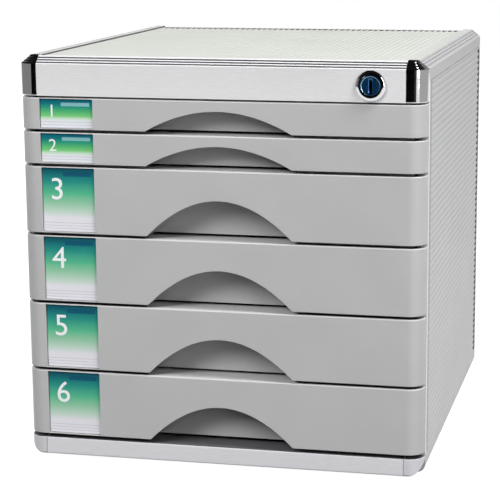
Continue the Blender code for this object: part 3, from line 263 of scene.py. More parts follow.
def add_object(name: str, data: bpy.types.ID) -> Object:
    """Make an object of some data and put it into the scene.

    Args:
        name: the object's name.
        data: its mesh, lamp, lens or letter.

    Returns:
        The object.
    """
    item = bpy.data.objects.new(name, data)
    bpy.context.scene.collection.objects.link(item)
    return item


def smooth(piece: Object) -> Object:
    """Shade a piece smooth, with its flat faces kept flat and its sharp edges kept sharp.

    Args:
        piece: the piece.

    Returns:
        The same piece.
    """
    piece.data.shade_smooth()
    piece.data.set_sharp_from_angle(angle=SHARP_ANGLE)
    piece.modifiers.new("flat_faces_lead", "WEIGHTED_NORMAL").keep_sharp = True
    return piece


def turned(profile: Array, axis: Axis, centre: Pair, steps: int) -> Array:
    """Rings round an axis, one for each (radius, level) pair of a profile."""
    return np.stack([axis.place(circle(radius, steps, centre), level) for radius, level in profile])


def carve(piece: Object, *cutters: Object) -> Object:
    """Cut other pieces out of one and remove them.

    Args:
        piece: the piece that is cut.
        cutters: closed pieces that are taken away from it.

    Returns:
        The same piece, with the cuts in its mesh.
    """
    piece.modifiers.clear()
    for cutter in cutters:
        cutter.modifiers.clear()
        cut = piece.modifiers.new("cut", "BOOLEAN")
        cut.operation, cut.solver, cut.object = "DIFFERENCE", "EXACT", cutter
    evaluated = piece.evaluated_get(bpy.context.evaluated_depsgraph_get())
    mesh = bpy.data.meshes.new_from_object(evaluated)
    piece.modifiers.clear()
    piece.data = mesh
    for cutter in cutters:
        bpy.data.objects.remove(cutter, do_unlink=True)
    return smooth(piece)


def face_values(piece: Object, kind: str) -> Array:
    """One vector for each face, its "center" or its "normal".

    Args:
        piece: the piece.
        kind: which vector, "center" or "normal".

    Returns:
        The vectors as (face, coordinate).
    """
    values = np.empty(len(piece.data.polygons) * 3)
    piece.data.polygons.foreach_get(kind, values)
    return values.reshape(-1, 3)


def recolour(piece: Object, chosen: Array, material: Material) -> None:
    """Give some of a piece's faces their own finish.

    Args:
        piece: the piece.
        chosen: whether each face gets it.
        material: the finish.
    """
    mesh = piece.data
    mesh.materials.append(material)
    indices = np.empty(len(mesh.polygons), np.int32)
    mesh.polygons.foreach_get("material_index", indices)
    indices[chosen] = len(mesh.materials) - 1
    mesh.polygons.foreach_set("material_index", indices)


def darken_level(piece: Object, level: float) -> None:
    """Paint shade onto a piece's upward faces at one level, with the dark ledge finish."""
    flat = np.abs(face_values(piece, "center")[:, 2] - level) < MERGE_DISTANCE * 10
    recolour(piece, flat & (face_values(piece, "normal")[:, 2] > 0.99), Finish.LEDGE_SHADE.made)


def settle(piece: Object, body: str, slot: str, *nodes: str) -> None:
    """Let a finished piece ride on a body and stand for the frame's solids.

    Args:
        piece: the finished piece.
        body: the body that it moves with.
        slot: not used.
        nodes: the solids that it stands for.
    """
    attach(piece, body)
    if nodes:
        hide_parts(*nodes)
    log.info("%s rides on %s and stands for %s", piece.name, body, ", ".join(nodes) or "nothing")


def soften(node: str, body: str, slot: str, material: Material, edge: float = 0.0003) -> None:
    """Copy a solid of the frame, round its edges a little and let the copy stand for it.

    Args:
        node: the solid's name.
        body: the body that it moves with.
        slot: not used; handed on to settle.
        material: the copy's finish.
        edge: width of the rounding.
    """
    shape = bmesh.new()
    shape.from_mesh(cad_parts[node].data)
    bmesh.ops.remove_doubles(shape, verts=shape.verts, dist=MERGE_DISTANCE)
    bmesh.ops.dissolve_limit(shape, angle_limit=FLAT_ANGLE, verts=shape.verts, edges=shape.edges)
    mesh = bpy.data.meshes.new(f"{node}_shell")
    shape.to_mesh(mesh)
    shape.free()
    mesh.materials.clear()
    mesh.materials.append(material)
    piece = add_object(f"{node}_shell", mesh)
    bevel = piece.modifiers.new("soft_edges", "BEVEL")
    bevel.width, bevel.segments = edge, 2
    bevel.limit_method, bevel.angle_limit = "ANGLE", BEVEL_ANGLE
    settle(smooth(piece), body, slot, node)


# Finishes


@dataclass
class Shader:
    """A node tree under construction, of a material or of the world, with short ways to add and join nodes."""

    owner: Material | bpy.types.World  # what the tree belongs to

    @classmethod
    def named(cls, name: str) -> "Shader":
        """Start a material with a Principled shader.

        Args:
            name: the material's name.

        Returns:
            Its tree.
        """
        material = bpy.data.materials.new(name)
        material.use_nodes = True
        return cls(material)

    def socket(self, name: str, node: str = "Principled BSDF") -> Socket:
        """A socket of the tree's main shader."""
        return self.owner.node_tree.nodes[node].inputs[name]

    def set(self, **values: float | Colour) -> None:
        """Set constants on the Principled shader, named by its sockets with spaces as underscores.

        Args:
            values: the constants.
        """
        for key, value in values.items():
            self.socket(key.replace("_", " ")).default_value = (*value, 1.0) if isinstance(value, tuple) else value

    def add(self, kind: str, **settings: str) -> bpy.types.ShaderNode:
        """Add a node and set its properties.

        Args:
            kind: the node's type, without the words that all types start with.
            settings: its properties.

        Returns:
            The node.
        """
        node = self.owner.node_tree.nodes.new(f"ShaderNode{kind}")
        for key, value in settings.items():
            setattr(node, key, value)
        return node

    def join(self, source: Socket, target: Socket) -> None:
        """Link two sockets."""
        self.owner.node_tree.links.new(source, target)

    def noise(self, scale: float, detail: float = 2.0, stretch: Place = (1.0, 1.0, 1.0)) -> Socket:
        """Noise between 0 and 1 on the object's coordinates.

        Args:
            scale: cells for each metre.
            detail: octaves.
            stretch: factors on the coordinates, small along the direction that the cells are drawn out in.

        Returns:
            The noise.
        """
        mapping = self.add("Mapping")
        mapping.inputs["Scale"].default_value = stretch
        self.join(self.add("TexCoord").outputs["Object"], mapping.inputs["Vector"])
        node = self.add("TexNoise")
        node.inputs["Scale"].default_value = scale
        node.inputs["Detail"].default_value = detail
        self.join(mapping.outputs["Vector"], node.inputs["Vector"])
        return node.outputs["Fac"]

    def split(self, kind: str) -> bpy.types.bpy_prop_collection:
        """The X, Y and Z of one kind of texture coordinates.

        Args:
            kind: the coordinates' name.

        Returns:
            The sockets, by X, Y and Z.
        """
        node = self.add("SeparateXYZ")
        self.join(self.add("TexCoord").outputs[kind], node.inputs["Vector"])
        return node.outputs

    def calculate(self, operation: str, first: Socket, second: Socket | float = 0.0) -> Socket:
        """Work out a value.

        Args:
            operation: what is worked out, in the words of the Math node.
            first: the first value.
            second: the second value, a socket or a number, where the operation has one.

        Returns:
            The value.
        """
        node = self.add("Math", operation=operation)
        self.join(first, node.inputs[0])
        if isinstance(second, float):
            node.inputs[1].default_value = second
        else:
            self.join(second, node.inputs[1])
        return node.outputs[0]

    def mix(self, factor: Socket, below: Socket, above: Colour, **settings: str) -> Socket:
        """Lay a plain colour over another one.

        Args:
            factor: how much of it is laid on.
            below: the other colour.
            above: the plain colour.
            settings: the node's other properties.

        Returns:
            The mixed colour.
        """
        node = self.add("Mix", data_type="RGBA", **settings)
        amount, first, second, result = node.inputs[0], node.inputs[6], node.inputs[7], node.outputs[2]
        self.join(factor, amount)
        self.join(below, first)
        second.default_value = (*above, 1.0)
        return result

    def ramp(self, value: Socket, stops: list[tuple[float, Colour]]) -> Socket:
        """Colours along a value, with a straight fade between the stops.

        Args:
            value: the value that runs from 0 to 1.
            stops: (place, colour) pairs in rising order.

        Returns:
            The colour.
        """
        node = self.add("ValToRGB")
        elements = node.color_ramp.elements
        while len(elements) < len(stops):
            elements.new(0.5)
        for element, (place, colour) in zip(elements, stops):
            element.position = place
            element.color = (*colour, 1.0)
        self.join(value, node.inputs["Fac"])
        return node.outputs["Color"]

    def tone(self, value: Socket, colour: Colour, dark: float, light: float, spread: float = 0.2) -> Socket:
        """Let a colour drift with a noise.

        Args:
            value: the noise.
            colour: the colour.
            dark: the factor on it where the noise is low.
            light: the factor on it where the noise is high.
            spread: how far low and high noise lie from the middle.

        Returns:
            The drifting colour.
        """
        ends = [tuple(min(1.0, channel * factor) for channel in colour) for factor in (dark, light)]
        return self.ramp(value, [(0.5 - spread, ends[0]), (0.5 + spread, ends[1])])

    def paint(self, colour: Socket) -> None:
        """Use a colour as the Principled shader's base colour."""
        self.join(colour, self.socket("Base Color"))

    def gloss(self, value: Socket, low: float, high: float) -> None:
        """Let the roughness drift with a noise.

        Args:
            value: the noise, of which the middle from 0.3 to 0.7 is used.
            low: the roughness where it is low.
            high: the roughness where it is high.
        """
        node = self.add("MapRange")
        for name, number in (("From Min", 0.3), ("From Max", 0.7), ("To Min", low), ("To Max", high)):
            node.inputs[name].default_value = number
        self.join(value, node.inputs["Value"])
        self.join(node.outputs["Result"], self.socket("Roughness"))

    def bump(self, height: Socket, distance: float) -> None:
        """Let a height tilt the Principled shader's normal.

        Args:
            height: the height, from 0 to 1.
            distance: how many metres a height of 1 is.
        """
        node = self.add("Bump")
        node.inputs["Strength"].default_value = 1.0
        node.inputs["Distance"].default_value = distance
        self.join(height, node.inputs["Height"])
        self.join(node.outputs["Normal"], self.socket("Normal"))


@dataclass(frozen=True)
class MouldedPlastic:
    """Matt moulded plastic: spark-eroded grain, faint clouding and uneven sheen."""

    name: str
    colour: Colour
    roughness: float = 0.5
    grain: float = 2600.0  # cells of the grain for each metre
    depth: float = 0.00002  # depth of the grain
    clouding: float = 0.02  # share by which the colour drifts

    def material(self) -> Material:
        """Make the material.

        Returns:
            The material.
        """
        shader = Shader.named(self.name)
        shader.set(IOR=1.5)
        clouds = shader.noise(scale=24.0, detail=3.0)
        shader.paint(shader.tone(clouds, self.colour, dark=1 - self.clouding, light=1 + self.clouding, spread=0.15))
        grain = shader.noise(scale=self.grain, detail=1.0)
        shader.gloss(grain, low=self.roughness - 0.05, high=self.roughness + 0.06)
        shader.bump(grain, self.depth)
        return shader.owner


@dataclass(frozen=True)
class SilverPaint:
    """Silver paint: fine metal flakes in a satin lacquer, with a drawn direction on the rails and, on the posts, a
    painted highlight line.
    """

    name: str
    colour: Colour
    roughness: float = 0.38
    metal: float = 0.35  # how metallic it looks
    stretch: Place = (1.0, 1.0, 1.0)  # factors on the flakes' coordinates, small along the drawn direction
    lacquer: float = 0.15  # weight of the clear coat
    line: float | None = None  # Y of the back edge of a painted highlight line, if the piece has one along its front edge
    # colour of the painted highlight line
    highlight_colour: Colour = (0.60, 0.60, 0.60)
    flake: float = 3200.0  # cells of the flakes for each metre
    depth: float = 0.000008  # depth of the flakes' relief

    def material(self) -> Material:
        """Make the material.

        Returns:
            The material.
        """
        shader = Shader.named(self.name)
        shader.set(Metallic=self.metal, Coat_Weight=self.lacquer, Coat_Roughness=0.25)
        flakes = shader.noise(scale=self.flake, detail=1.0, stretch=self.stretch)
        colour = shader.tone(flakes, self.colour, dark=0.95, light=1.05)
        # Painted highlight: a light band in front of the line's Y.
        if self.line is not None:
            in_highlight = shader.calculate("LESS_THAN", shader.split("Object")["Y"], self.line)
            colour = shader.mix(in_highlight, colour, self.highlight_colour)
        shader.paint(colour)
        shader.gloss(shader.noise(scale=16.0), self.roughness - 0.03, self.roughness + 0.03)
        shader.bump(flakes, self.depth)
        return shader.owner


@dataclass(frozen=True)
class BrightPlating:
    """Chrome plating on plastic: a mirror with faint waves and wiping marks."""

    name: str
    colour: Colour = (0.62, 0.62, 0.63)
    roughness: float = 0.035
    wave: float = 0.00002  # height of the waves

    def material(self) -> Material:
        """Make the material.

        Returns:
            The material.
        """
        shader = Shader.named(self.name)
        shader.set(Base_Color=self.colour, Metallic=1.0)
        marks = shader.noise(scale=500.0, detail=3.0, stretch=(1.0, 1.0, 0.25))
        shader.gloss(marks, low=self.roughness - 0.015, high=self.roughness + 0.03)
        shader.bump(shader.noise(scale=180.0, detail=1.0), self.wave)
        return shader.owner


@dataclass(frozen=True)
class BareMetal:
    """Worked metal with drawn or turned marks."""

    name: str
    colour: Colour
    roughness: float = 0.32
    stretch: Place = (1.0, 1.0, 1.0)  # factors on the marks' coordinates, small along the marks
    marks: float = 3000.0  # cells of the marks for each metre
    coat: float = 0.0  # weight of a clear coat over it
    depth: float = 0.00001  # depth of the marks

    def material(self) -> Material:
        """Make the material.

        Returns:
            The material.
        """
        shader = Shader.named(self.name)
        shader.set(Metallic=1.0, Coat_Weight=self.coat, Coat_Roughness=0.08)
        marks = shader.noise(scale=self.marks, detail=2.0, stretch=self.stretch)
        shader.paint(shader.tone(marks, self.colour, dark=0.88, light=1.12))
        shader.gloss(marks, low=self.roughness - 0.06, high=self.roughness + 0.06)
        shader.bump(marks, self.depth)
        return shader.owner


@dataclass(frozen=True)
class SoftRubber:
    """Black rubber with a coarse matt skin."""

    name: str
    colour: Colour = (0.025, 0.025, 0.025)

    def material(self) -> Material:
        """Make the material.

        Returns:
            The material.
        """
        shader = Shader.named(self.name)
        shader.set(IOR=1.45)
        skin = shader.noise(scale=1800.0, detail=3.0)
        shader.paint(shader.tone(skin, self.colour, dark=0.7, light=1.5))
        shader.gloss(skin, low=0.8, high=0.95)
        shader.bump(skin, 0.00006)
        return shader.owner


@dataclass(frozen=True)
class StudioSurface:
    """A surface of the studio: black cloth, a lit grey one, or white paper lit from below as well."""

    name: str
    glow: float = 0.0  # light that it gives off itself
    colour: Colour = (0.001, 0.001, 0.001)
    drift: float = 3.0  # factor on the colour where the weave is high
    cells: float = 900.0  # cells of the weave for each metre
    roughness: float = 1.0
    gloss: float = 0.0  # strength of its reflection

    def material(self) -> Material:
        """Make the material.

        Returns:
            The material.
        """
        shader = Shader.named(self.name)
        shader.set(Specular_IOR_Level=self.gloss, Roughness=self.roughness)
        shader.set(Emission_Color=(1.0, 1.0, 1.0), Emission_Strength=self.glow)
        shader.paint(shader.tone(shader.noise(scale=self.cells), self.colour, 1.0, self.drift))
        return shader.owner


@dataclass(frozen=True)
class ClearSheet:
    """Clear plastic sheet that shows mostly by its gloss."""

    name: str
    opacity: float = 0.015  # share of the light that its body stops

    def material(self) -> Material:
        """Make the material.

        Returns:
            The material.
        """
        shader = Shader.named(self.name)
        shader.set(Base_Color=(0.10, 0.10, 0.10), Alpha=self.opacity, IOR=1.49, Specular_IOR_Level=0.08)
        shader.gloss(shader.noise(scale=260.0, detail=3.0), 0.06, 0.14)
        return shader.owner


@dataclass(frozen=True)
class PrintedCard:
    """Card printed with a fade from teal through green to white, a bar, and faint writing lines at its foot."""

    name: str
    stops: tuple[tuple[float, Colour], ...]  # places from the card's foot, 0, to its top, 1, with their colours
    bar: tuple[float, float, float, float]  # left, lower, right and upper edge of the bar, as shares of the card
    bar_ink: Colour  # the bar's colour
    bar_weight: float  # how strongly it covers the fade
    lines: float = 22.0  # how many writing lines the card's whole height would hold
    lines_top: float = 0.18  # share of the height that they reach up to
    line_share: float = 0.22  # share of a line's step that is printed
    line_ink: Colour = (0.72, 0.74, 0.76)  # the colour that a line multiplies the fade with

    def material(self) -> Material:
        """Make the material. The bar and the lines are products of tests on the places across and up the card.

        Returns:
            The material.
        """
        shader = Shader.named(self.name)
        shader.set(IOR=1.45, Specular_IOR_Level=0.05)
        place = shader.split("UV")
        left, lower, right, upper = self.bar
        mask = self.bar_weight
        for axis, test, edge in (
            ("X", "GREATER_THAN", left),
            ("X", "LESS_THAN", right),
            ("Y", "GREATER_THAN", lower),
            ("Y", "LESS_THAN", upper),
        ):
            mask = shader.calculate("MULTIPLY", shader.calculate(test, place[axis], edge), mask)
        barred = shader.mix(mask, shader.ramp(place["Y"], list(self.stops)), self.bar_ink)
        step = shader.calculate("FRACT", shader.calculate("MULTIPLY", place["Y"], self.lines))
        below = shader.calculate("LESS_THAN", place["Y"], self.lines_top)
        line = shader.calculate("MULTIPLY", shader.calculate("LESS_THAN", step, self.line_share), below)
        shader.paint(shader.mix(line, barred, self.line_ink, blend_type="MULTIPLY"))
        fibre = shader.noise(scale=2200.0, detail=3.0)
        shader.gloss(fibre, low=0.5, high=0.65)
        shader.bump(fibre, 0.00001)
        return shader.owner


DEEP_CARD_STOPS = (
    (0.0, (0.6, 0.593, 0.632)),
    (0.22, (0.585, 0.577, 0.616)),
    (0.32, (0.395, 0.521, 0.442)),
    (0.45, (0.221, 0.435, 0.292)),
    (0.60, (0.071, 0.363, 0.205)),
    (0.78, (0.016, 0.213, 0.174)),
    (0.90, (0.005, 0.126, 0.142)),
    (1.0, (0.003, 0.055, 0.087)),
)
THIN_CARD_STOPS = (
    (0.0, (0.593, 0.593, 0.64)),
    (0.26, (0.569, 0.585, 0.616)),
    (0.34, (0.395, 0.569, 0.411)),
    (0.42, (0.142, 0.442, 0.15)),
    (0.58, (0.055, 0.332, 0.126)),
    (0.72, (0.016, 0.229, 0.15)),
    (0.84, (0.003, 0.142, 0.166)),
    (1.0, (0.002, 0.087, 0.142)),
)


class Finish(Enum):
    """The finishes by the surface they are on."""

    PANEL = SilverPaint("ribbed_panel_paint", (0.49, 0.50, 0.47), 0.42, 0.25)
    # Also laid on the top strips' sideways faces as painted shade.
    SIDE = SilverPaint("side_paint", (0.335, 0.335, 0.338), 0.5, 0.15, lacquer=0.05)
    # The posts' paint: darker than the side paint as painted shade, with a painted highlight line along the front
    # edge.
    POST = SilverPaint("post_shade_and_highlight_paint", (0.235, 0.235, 0.238), 0.5, 0.15, lacquer=0.05, line=-0.1470)
    STRIP = SilverPaint("corner_strip_paint", (0.57, 0.58, 0.555), 0.36)
    RAIL = SilverPaint("rail_paint", (0.70, 0.70, 0.71), 0.33, 0.45, (0.04, 1.0, 1.0), 0.25)
    FOOT_RAIL = SilverPaint("foot_rail_paint", (0.49, 0.49, 0.51), 0.38, 0.3, (0.04, 1.0, 1.0))
    # Dark finishes that paint the shade in the bevels' grooves.
    GROOVE_SHADE = SilverPaint("groove_shade_paint", (0.06, 0.06, 0.065), 0.5, 0.2)
    STRIP_GROOVE_SHADE = SilverPaint("strip_groove_shade_paint", (0.27, 0.27, 0.28), 0.5, 0.2)
    CHROME = BrightPlating("bright_plating")
    # Dark finish that paints the shade on ledges, channel floors and seam walls.
    LEDGE_SHADE = MouldedPlastic("ledge_shade_plastic", (0.07, 0.07, 0.075), 0.6)
    BLOCK = MouldedPlastic("end_block_plastic", (0.42, 0.42, 0.44), 0.42)
    DRAWER = MouldedPlastic("drawer_front_plastic", (0.335, 0.335, 0.337), 0.56)
    TRAY = MouldedPlastic("tray_plastic", (0.36, 0.36, 0.37), 0.55, 1600.0)
    INNER = MouldedPlastic("inner_plastic", (0.30, 0.30, 0.31), 0.6, 1400.0, 0.00004)
    PRINT = MouldedPlastic("white_print", (0.66, 0.67, 0.69), 0.5, 3000.0, 0.000004)
    CARD_DEEP = PrintedCard("deep_card_print", DEEP_CARD_STOPS, (0.40, 0.87, 0.94, 0.94), (0.003, 0.06, 0.12), 0.8)
    CARD_THIN = PrintedCard(
        "thin_card_print", THIN_CARD_STOPS, (0.40, 0.76, 0.94, 0.88), (0.30, 0.55, 0.58), 0.6, 10.0, 0.25
    )
    WINDOW = ClearSheet("window_sheet")
    LOCK_BLUE = BareMetal("blue_plug", (0.006, 0.055, 0.15), 0.24, marks=1500.0, coat=0.6)
    # Near-black finish that paints the shade in the key slot and in the gap round the plug.
    LOCK_SHADE = BareMetal("keyway_shade_metal", (0.02, 0.02, 0.025), 0.4)
    LOCK_RING = BareMetal("plug_ring_metal", (0.35, 0.55, 0.58), 0.35)
    STEEL = BareMetal("zinc_steel", (0.55, 0.55, 0.56), 0.34, (1.0, 1.0, 0.05))
    RUBBER = SoftRubber("foot_rubber")
    # Dark fill that paints the shade in the ribs' troughs before the rim.
    SHADE_FILL = SoftRubber("seal_rubber", (0.03, 0.03, 0.032))
    FLOOR = StudioSurface("floor_paper", 0.99, (0.10, 0.10, 0.10), 1.01, 300.0, 0.9, 0.1)

    @cached_property
    def made(self) -> Material:
        """The finish's material, made when it is first asked for."""
        return self.value.material()


# The case


@dataclass(frozen=True)
class CaseSection:
    """Sizes shared by the rails, caps and corner strips."""

    bevel_width: float = 0.0072  # how far the grooved bevel runs in from the case's faces
    bevel_height: float = 0.0060  # how far it runs down from the top
    groove_shares: tuple[float, ...] = (0.19, 0.46, 0.73)  # places of the grooves along the bevel
    groove_width: float = 0.0015
    groove_depth: float = 0.0008
    groove_floor: float = 0.44  # share of a groove's width that its flat floor takes
    panel: float = 0.003  # thickness of the panels
    lip: float = 0.0015  # thickness of the lips behind the panels
    lip_reach: float = 0.008  # how far the lips go behind the panels
    wall: float = 0.0022  # wall of the rails
    corner: float = 0.012  # radius of the front corners in plan
    foot_round: float = 0.0125  # radius of the bottom corners, seen from the front
    soft: float = 0.0004  # radius of the sharp-looking edges
    gap: float = 0.0003  # gap between touching pieces

    @property
    def lip_face(self) -> float:
        """Depth of the lips' outer face below the case's surface."""
        return self.panel + self.gap

    @property
    def lip_back(self) -> float:
        """Depth of the lips' inner face below the case's surface."""
        return self.lip_face + self.lip

    def darken(self, piece: Object, axis: int, face: float, inward: int, top: float, dark: Material) -> None:
        """Paint shade onto a piece's groove walls with a dark finish.

        A face lies in a groove if its centre is more than a fifth of a groove's depth under the
        bevel's plane, and not much more than a whole depth under it.

        Args:
            piece: the piece.
            axis: the coordinate that runs in from the upright face, 0 for X and 1 for Y.
            face: where that face is.
            inward: 1 where the coordinate grows inwards, and -1 where it falls.
            top: the height of the piece's top.
            dark: the dark finish that paints the shade in the grooves.
        """
        centres = face_values(piece, "center")
        run, rise = (centres[:, axis] - face) * inward, centres[:, 2] - top + self.bevel_height
        length = math.hypot(self.bevel_width, self.bevel_height)
        place = (run * self.bevel_width + rise * self.bevel_height) / length
        depth = (run * self.bevel_height - rise * self.bevel_width) / length
        inside = (place > self.groove_width) & (place < length - self.groove_width)
        recolour(piece, inside & (depth > self.groove_depth / 5) & (depth < self.groove_depth * 1.2), dark)

    def bevel(self, foot: Pair, head: Pair, share: float = 1.0) -> Array:
        """Corners of the grooves along the bevel, from its foot to its head.

        Args:
            foot: where the bevel leaves the upright face.
            head: where it meets the top.
            share: the share of the grooves' depth that is cut.

        Returns:
            Four corners for each groove, the middle two sunk towards the inside.
        """
        start, end = np.array(foot), np.array(head)
        length = float(np.linalg.norm(end - start))
        along = (end - start) / length
        inward = np.array([along[1], -along[0]]) * np.sign(along[0])
        centres = np.array(self.groove_shares) * length
        across = np.array([-1.0, -self.groove_floor, self.groove_floor, 1.0]) / 2
        reach = centres[:, None] + across * self.groove_width
        sink = np.array([0.0, 1.0, 1.0, 0.0]) * self.groove_depth * share
        return (start + reach[..., None] * along + sink[None, :, None] * inward).reshape(-1, 2)


@dataclass(frozen=True)
class RibbedPanel:
    """One ribbed panel: the ribs run from front to back, and dark fills in the troughs paint the shade at their ends
    before a plain rim.
    """

    node: str  # its solid
    across: int  # the coordinate that runs across the ribs, 0 for X and 2 for Z
    out: int  # 1 where the ribs face up the other coordinate, and -1 where they face down it
    rim: float  # length of the plain rim at the back
    seal: float  # length of the dark fills that paint the shade in the troughs before it
    finish: Finish = Finish.SIDE
    seam: float = 0.0  # how far the panel's long edges stay back from its solid's
    sink: float = 0.0  # how far the ribs' tops lie below the solid's face
    depth: float = 0.00044  # depth of the troughs
    pitch: float = 0.005  # distance between the ribs
    crest: float = 0.30  # share of the pitch that a rib's flat top takes
    seal_crest: float = 0.10  # the same share between the shade fills
    seal_drop: float = 0.00002  # how far the shade fills lie below the ribs' tops
    edge: float = 0.0003  # radius of the rim's edges
    rib_edge: float = 0.00005  # radius of the ribs' ends
    seal_edge: float = 0.00002  # radius of the shade fills' ends
    trough_points: int = 11  # points across a trough

    def place(self, along: Array, level: Array) -> Array:
        """Points in the section, from places across the ribs and levels of the other coordinate."""
        columns = (level, along) if self.across == 2 else (along, level)
        return np.stack(np.broadcast_arrays(*columns), axis=-1)

    def trough(self, reach: float, crest: float) -> tuple[Array, Array]:
        """Places and depths over a trough, the cosine dip d * (1 + cos(2 pi t)) / 2.

        Args:
            reach: the largest t on both sides, 1/2 for the whole trough.
            crest: share of the pitch that the rib beside it takes.

        Returns:
            Places from the trough's middle, and depths below the ribs' tops.
        """
        share = np.linspace(-reach, reach, self.trough_points)
        return share * self.pitch * (1 - crest), self.depth * (1 + np.cos(2 * math.pi * share)) / 2

    def build(self) -> None:
        """Build the panel, the dark fills that paint the shade in its troughs, and its rim."""
        low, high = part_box(self.node)
        other = 2 - self.across
        start, end = low[self.across] + self.seam, high[self.across] - self.seam
        face, back = (high[other], low[other]) if self.out > 0 else (low[other], high[other])
        face -= self.out * self.sink
        count = int((end - start) / self.pitch)
        centres = (start + end - (count - 1) * self.pitch) / 2 + np.arange(count) * self.pitch
        edges = self.place(np.array([end, end, start, start]), np.array([face, back, back, face]))
        rim_start = high.y - self.rim
        shade_fill_start = rim_start - self.seal
        panel = Surface(f"{self.node}_ribbed")
        for crest, front, rear in ((self.crest, low.y, shade_fill_start), (self.seal_crest, shade_fill_start, rim_start)):
            step, dip = self.trough(0.5, crest)
            ribs = self.place((centres[:, None] + step).reshape(-1), face - self.out * np.tile(dip, count))
            panel.extrude(np.concatenate([ribs, edges]), Axis.Y, front, rear, self.rib_edge)
        settle(panel.finish(self.finish.made), "case", "ribbed_panel", self.node)
        rim = Surface(f"{self.node}_rim")
        rim.extrude(edges, Axis.Y, rim_start, high.y, self.edge)
        settle(rim.finish(self.finish.made), "case", "ribbed_panel", self.node)
        # Painted shade: dark fills in the troughs before the rim.
        shade_fills = Surface(f"{self.node}_seals")
        step, dip = self.trough(math.acos(2 * self.seal_drop / self.depth - 1) / (2 * math.pi), self.seal_crest)
        for centre in centres:
            outline = self.place(centre + step, face - self.out * dip)
            shade_fills.extrude(outline, Axis.Y, shade_fill_start, rim_start, self.seal_edge)
        settle(shade_fills.finish(Finish.SHADE_FILL.made), "case", "rubber", self.node)


@dataclass
class CornerStrips:
    """The four strips along the case's long edges and the two front posts."""

    section: CaseSection
    groove_share: float = 0.6  # how deep the strips' grooves are, as a share of the rail's
    top_soft: float = 0.00018  # radius of the top strips' edges
    foot_soft: float = 0.0002  # radius of the bottom strips' edges
    round_steps: int = 14  # segments on the round bottom corners

    def top_outline(self, inner: float, half: float, low: float, top: float) -> Array:
        """Section of the right top strip: top flat, grooved bevel, side flat and two lips.

        Args:
            inner: where the top lip ends.
            half: where the strip's outer face is.
            low: where the side lip ends.
            top: where the top flat is.

        Returns:
            The section's points.
        """
        s = self.section
        flat, foot_z = inner + s.lip_reach, low + s.lip_reach
        head, foot = (half - s.bevel_width, top), (half, top - s.bevel_height)
        corners = [
            (flat, top),
            head,
            *s.bevel(head, foot, self.groove_share),
            foot,
            (half, foot_z),
            (half - s.lip_face, foot_z),
            (half - s.lip_face, low),
            (half - s.lip_back, low),
            (half - s.lip_back, top - s.bevel_height),
            (half - s.bevel_width, top - s.lip_back),
            (inner, top - s.lip_back),
            (inner, top - s.lip_face),
            (flat, top - s.lip_face),
        ]
        return fillet(corners, self.top_soft, 3)

    def bottom_outline(self, inner: float, half: float, floor: float, high: float) -> Array:
        """Section of the right bottom strip: a round corner and two lips.

        Args:
            inner: where the bottom lip ends.
            half: where the strip's outer face is.
            floor: where its underside is.
            high: where the side lip ends.

        Returns:
            The section's points.
        """
        s = self.section
        flat, head_z = inner + s.lip_reach, high - s.lip_reach
        corners = [
            (half, head_z),
            (half, floor),
            (flat, floor),
            (flat, floor + s.lip_face),
            (inner, floor + s.lip_face),
            (inner, floor + s.lip_back),
            (half - s.lip_back, floor + s.lip_back),
            (half - s.lip_back, high),
            (half - s.lip_face, high),
            (half - s.lip_face, head_z),
        ]
        radii = np.full(len(corners), self.foot_soft)
        radii[1], radii[6] = s.foot_round, s.foot_round - s.lip_back
        return fillet(corners, radii, self.round_steps)

    def build(self) -> None:
        """Build the strips, paint shade onto the top ones' grooves, inward walls and sideways faces, and soften the
        posts.
        """
        for place, outline, finish in (
            ("top", self.top_outline, Finish.STRIP),
            ("bottom", self.bottom_outline, Finish.SIDE),
        ):
            for hand, side in HANDS:
                node = f"{place}_{hand}_corner_strip"
                low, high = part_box(node)
                inner, half = sorted((abs(low.x), abs(high.x)))
                surface = Surface(f"{node}_shell")
                section = outline(inner, half, low.z, high.z) * (side, 1.0)
                surface.extrude(section, Axis.Y, low.y, high.y)
                strip = surface.finish(finish.made)
                if place == "top":
                    # Painted shade: the sideways faces get the darker side paint, the inward walls the dark ledge
                    # finish and the grooves the dark groove finish.
                    facing = face_values(strip, "normal")[:, 0] * side
                    recolour(strip, facing > 0.5, Finish.SIDE.made)
                    recolour(strip, facing < -0.95, Finish.LEDGE_SHADE.made)
                    self.section.darken(strip, 0, side * half, -side, high.z, Finish.STRIP_GROOVE_SHADE.made)
                settle(strip, "case", "case_strip", node)
        # The posts get the post paint, with its painted shade and painted highlight.
        for hand, _ in HANDS[::-1]:
            soften(f"{hand}_front_post", "case", "case_strip", Finish.POST.made)


